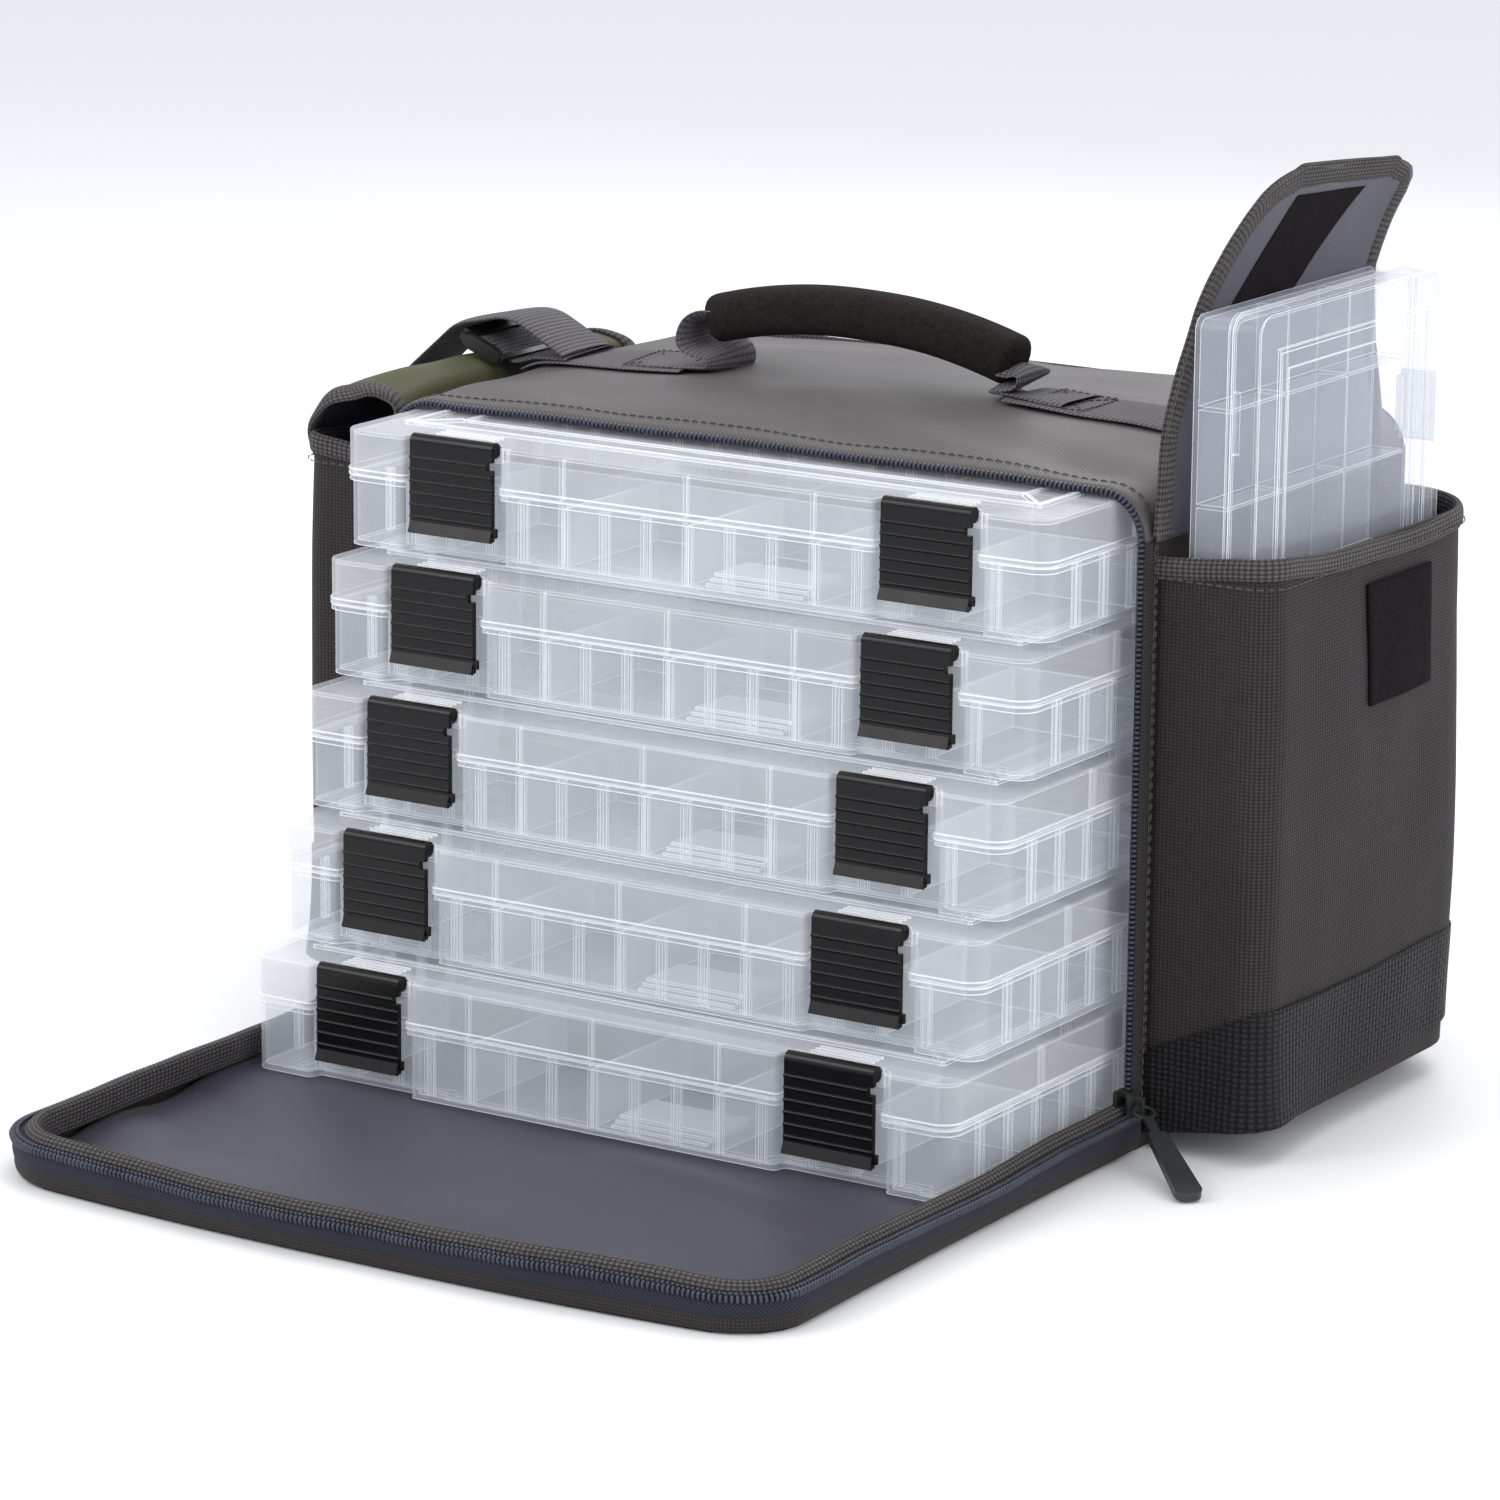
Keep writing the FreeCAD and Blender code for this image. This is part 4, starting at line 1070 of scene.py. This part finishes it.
def cross_stitch(name, x0, x1, y0, y1):
    """A sewn box with a cross in it, on the top webbing."""
    runs = [(x0, y0, x1, y0), (x1, y0, x1, y1), (x1, y1, x0, y1), (x0, y1, x0, y0), (x0, y0, x1, y1),
            (x0, y1, x1, y0)]
    for k, (ax, ay, bx, by) in enumerate(runs):
        line = [(ax + (bx - ax) * t, ay + (by - ay) * t) for t in linspace(0, 1, 14)]
        line = [(x, y, H + top_lift(x, y) + 0.0027) for x, y in line]
        sew_row("%s_%d" % (name, k), line, (0, 0, 1), "webbing", length=0.0026, gap=0.0009)


def build_grip(yc):
    """Foam sleeve, flattened round section, bowed along its length; returns its centre line."""
    r, rings, sides = 0.0112, 78, 28
    a, b = GRIP_LO[0] + 0.001, GRIP_HI[0] - 0.012
    top = GRIP_HI[2] - r + 0.0005
    ks = [i / (rings - 1) for i in range(rings)]
    line = np.array([(a + (b - a) * k, yc, top - 0.012 * abs(2 * k - 1) ** 2.2 + 0.004 * (0.5 - k)) for k in ks])
    s = along(line)
    d = directions(line)
    across = np.array([0, 1.0, 0])
    pts, uv = [], []
    for i in range(rings):
        end = min(min(s[i], s[-1] - s[i]) / 0.0045, 1.0)
        k = max(sqrt(1 - (1 - end) ** 2), 0.55)
        up = np.cross(across, -d[i])
        row = []
        for q in range(sides):
            c, sn = cos(TAU * q / sides), sin(TAU * q / sides)
            flat = (abs(c) ** 3.0 + abs(sn) ** 3.0) ** (-1 / 3.0)
            rr = r * flat * k * (1 + wave(s[i], c, sn, 30, 0.02, 3))
            row.append(line[i] + across * rr * c * 1.04 + up * rr * sn * 0.98)
        pts.append(row)
        uv.append([(s[i], q * 0.0024) for q in range(sides)])
    pts = [[line[0]] * sides] + pts + [[line[-1]] * sides]
    grip = smoothed(grid("grip_sleeve", pts, [uv[0]] + uv + [uv[-1]], FOAM, ring=True))
    sew(grip, "handle", "handle_grip")
    return line


def build_handle():
    """The grip and the webbing loop that comes out of each end of it, doubles back and runs on along the top."""
    yc = (GRIP_LO[1] + GRIP_HI[1]) / 2
    line = build_grip(yc)
    for name, end, out in (("left", line[0], -1), ("right", line[-1], 1)):
        ex, ez = end[0], end[2]
        base = H + top_lift(ex + out * 0.012, yc) + 0.0016
        rise = ez - base
        bends = [(ex - out * 0.006, ez + 0.0005), (ex + out * 0.006, ez - 0.0005),
                 (ex + out * 0.0095, base + rise * 0.5), (ex - out * 0.009, base + rise * 0.4),
                 (ex - out * 0.0095, base + 0.0006), (ex + out * 0.03, base + 0.0003)]
        path = round_path(bends, [0, 0.0045, 0.0034, 0.0028, 0.0026, 0], 0.001)
        loop = ribbon("handle_loop_" + name, [(x, yc, z) for x, z in path], 0.034, 0.0024,
                      twist=lambda k, o=out: 0.16 * o * sin(pi * k) ** 2, seed=3 + out,
                      narrow=lambda k: 0.68 + 0.32 * unit((k - 0.08) / 0.14))
        blend(loop, "bag", "handle", (0, 0, base + 0.003), (0, 0, base + 0.014), "webbing")
        if name == "left":
            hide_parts("handle_loops")


def build_top_webbing():
    lo, hi = corners("top_webbing")
    yc, wide = (lo[1] + hi[1]) / 2, hi[1] - lo[1]
    runs = (("left", lo[0] - 0.016, GRIP_LO[0] - 0.004), ("right", GRIP_HI[0] - 0.01, hi[0] + 0.014))
    for name, a, b in runs:
        line = []
        for x in linspace(a, b, 40):
            over_edge = 0.008 * max(0.0, (abs(x) - (W - 0.022)) / 0.022) ** 2
            line.append((x, yc, H + top_lift(x, yc) + 0.0016 - over_edge))
        web = ribbon("top_web_" + name, line, wide, 0.0019, seed=9)
        for v in web.data.vertices:
            v.co.z += top_lift(v.co.x, v.co.y) - top_lift(v.co.x, yc)
        ride(web, "bag")
        if name == "left":
            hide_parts("top_webbing")
    for name, c in (("left", GRIP_LO[0] - 0.024), ("right", GRIP_HI[0] + 0.014)):
        cross_stitch("web_cross_" + name, c - 0.014, c + 0.014, yc - wide * 0.4, yc + wide * 0.4)


def build_strap():
    """Anchor webbing into the ladder lock, and the strap over it and down the left side."""
    lo, hi = corners("strap_webbing")
    lock_lo, lock_hi = corners("ladder_lock")
    yc, wide = (lo[1] + hi[1]) / 2, hi[1] - lo[1]
    lx, lz = (lock_lo[0] + lock_hi[0]) / 2, (lock_lo[2] + lock_hi[2]) / 2
    left = lo[0] + 0.0012
    path = [(-0.16, H + 0.0045), (-0.178, H + 0.0035), (-0.19, H - 0.0005), (lx - 0.002, lz + 0.003),
            (lx - 0.008, lz + 0.002)]
    path = round_path(path, [0, 0.02, 0.006, 0.004, 0], 0.002)
    under = ribbon("strap_anchor", [(x, yc, z) for x, z in path], wide * 0.98, 0.002, seed=17)
    path = [(hi[0] - 0.002, H + 0.006), (-0.192, H + 0.0215), (-0.222, lz + 0.0085),
            (lo[0] + 0.0005, 0.268), (left, 0.24)]
    path = round_path(path, [0, 0.024, 0.02, 0.022, 0], 0.003)
    arch = ribbon("strap_arch", [(x, yc, z) for x, z in path], wide, 0.0021, seed=12, edge=-0.001)
    hang = [(left + 0.0012 * sin((0.24 - z) * 30), yc + 0.002 * sin((0.24 - z) * 14), z)
            for z in linspace(0.24, lo[2] + 0.001, 40)]
    tail = ribbon("strap_tail", hang, wide, 0.0021, seed=14, edge=0.001)
    for piece in (arch, under):
        blend(piece, "bag", "flap_root_left", (-0.18, 0, 0), (-0.194, 0, 0), "webbing")
    blend(tail, "flap_root_left", "flap_tip_left", (0, 0, SEAM + 0.006), (0, 0, SEAM - 0.012), "webbing")
    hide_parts("strap_webbing")


# ---- CAD pieces that keep their shape ----
def dress(slot, mat, *nodes):
    for node in nodes:
        obj = NODES[node]
        obj.data.materials.clear()
        obj.data.materials.append(mat)


def dress_hard_pieces():
    for box in ("box_%d_" % i for i in range(1, 6)):
        dress("clear_plastic", TRAY_MAT, box + "tray")
        dress("clear_plastic", LID_MAT, box + "lid")
        dress("clear_plastic", DIV_MAT, box + "dividers")
        dress("black_plastic", BLACK, box + "latch_left", box + "latch_right")
    dress("clear_plastic", SMALL_MAT, "small_tray", "small_lid")
    dress("clear_plastic", DIV_MAT, "small_latch_upper", "small_latch_lower")
    dress("slider_metal", METAL, "zip_slider")
    dress("soft_rubber", RUBBER, "zip_pull")
    dress("black_plastic", BUCKLE, "ladder_lock")


# ---- floor, light and camera ----
def area(name, where, at, size, power):
    light = bpy.data.lights.new(name, "AREA")
    light.shape = "RECTANGLE"
    light.size, light.size_y = size
    light.energy = power
    obj = link(bpy.data.objects.new(name, light))
    obj.location = where
    obj.rotation_euler = (Vector(at) - Vector(where)).to_track_quat("-Z", "Y").to_euler()


def stage():
    bpy.context.scene.view_settings.view_transform = "Standard"
    m, nt, bsdf = new_material("studio_floor")
    bsdf.inputs["Base Color"].default_value = (0.9, 0.9, 0.9, 1)
    bsdf.inputs["Roughness"].default_value = 0.6
    size, z = 9.0, -0.0002
    corners_at = [(-size, -size, z), (size, -size, z), (-size, size, z), (size, size, z)]
    floor = make("floor", corners_at, [(0, 1, 3, 2)], m)
    world = bpy.context.scene.world or bpy.data.worlds.new("world")
    bpy.context.scene.world = world
    world.use_nodes = True
    bg = world.node_tree.nodes["Background"]
    bg.inputs[0].default_value = (0.93, 0.95, 1.0, 1)
    bg.inputs[1].default_value = 0.92
    area("key", (-1.3, -1.7, 1.7), (0, -0.1, 0.15), (1.4, 1.4), 24)
    area("top", (0.2, 0.4, 2.2), (0, 0, 0.1), (1.8, 1.8), 16)
    area("side", (2.2, -0.6, 1.0), (0, -0.1, 0.15), (1.0, 1.4), 14)
    area("back", (-0.4, 2.0, 1.3), (0, 0, 0.2), (1.6, 1.0), 12)


def place_camera():
    """The camera, with its heading, downward tilt and slight roll."""
    cam = bpy.data.cameras.new("camera")
    cam.sensor_width = 36.0
    cam.lens = 149.67
    cam.clip_end = 30
    obj = link(bpy.data.objects.new("camera", cam))
    yaw, pitch, roll = radians(-32.475), radians(13.673), radians(0.552)
    forward_axis = Vector((sin(yaw) * cos(pitch), cos(yaw) * cos(pitch), -sin(pitch)))
    level = Vector((cos(yaw), -sin(yaw), 0))
    above = level.cross(forward_axis)
    right = level * cos(roll) + above * sin(roll)
    up = -level * sin(roll) + above * cos(roll)
    m = Matrix((right, up, -forward_axis)).transposed().to_4x4()
    m.translation = Vector((1.4044, -2.3246, 0.784))
    obj.matrix_world = m
    bpy.context.scene.camera = obj


build_top()
build_sides()
build_back()
build_zip()
build_door()
for side_name, side_sign in SIDES:
    build_pocket(side_name, side_sign)
build_flap("right", 1, flap_point)
build_flap("left", -1, shut_point)
build_handle()
build_top_webbing()
build_strap()
dress_hard_pieces()
stage()
place_camera()
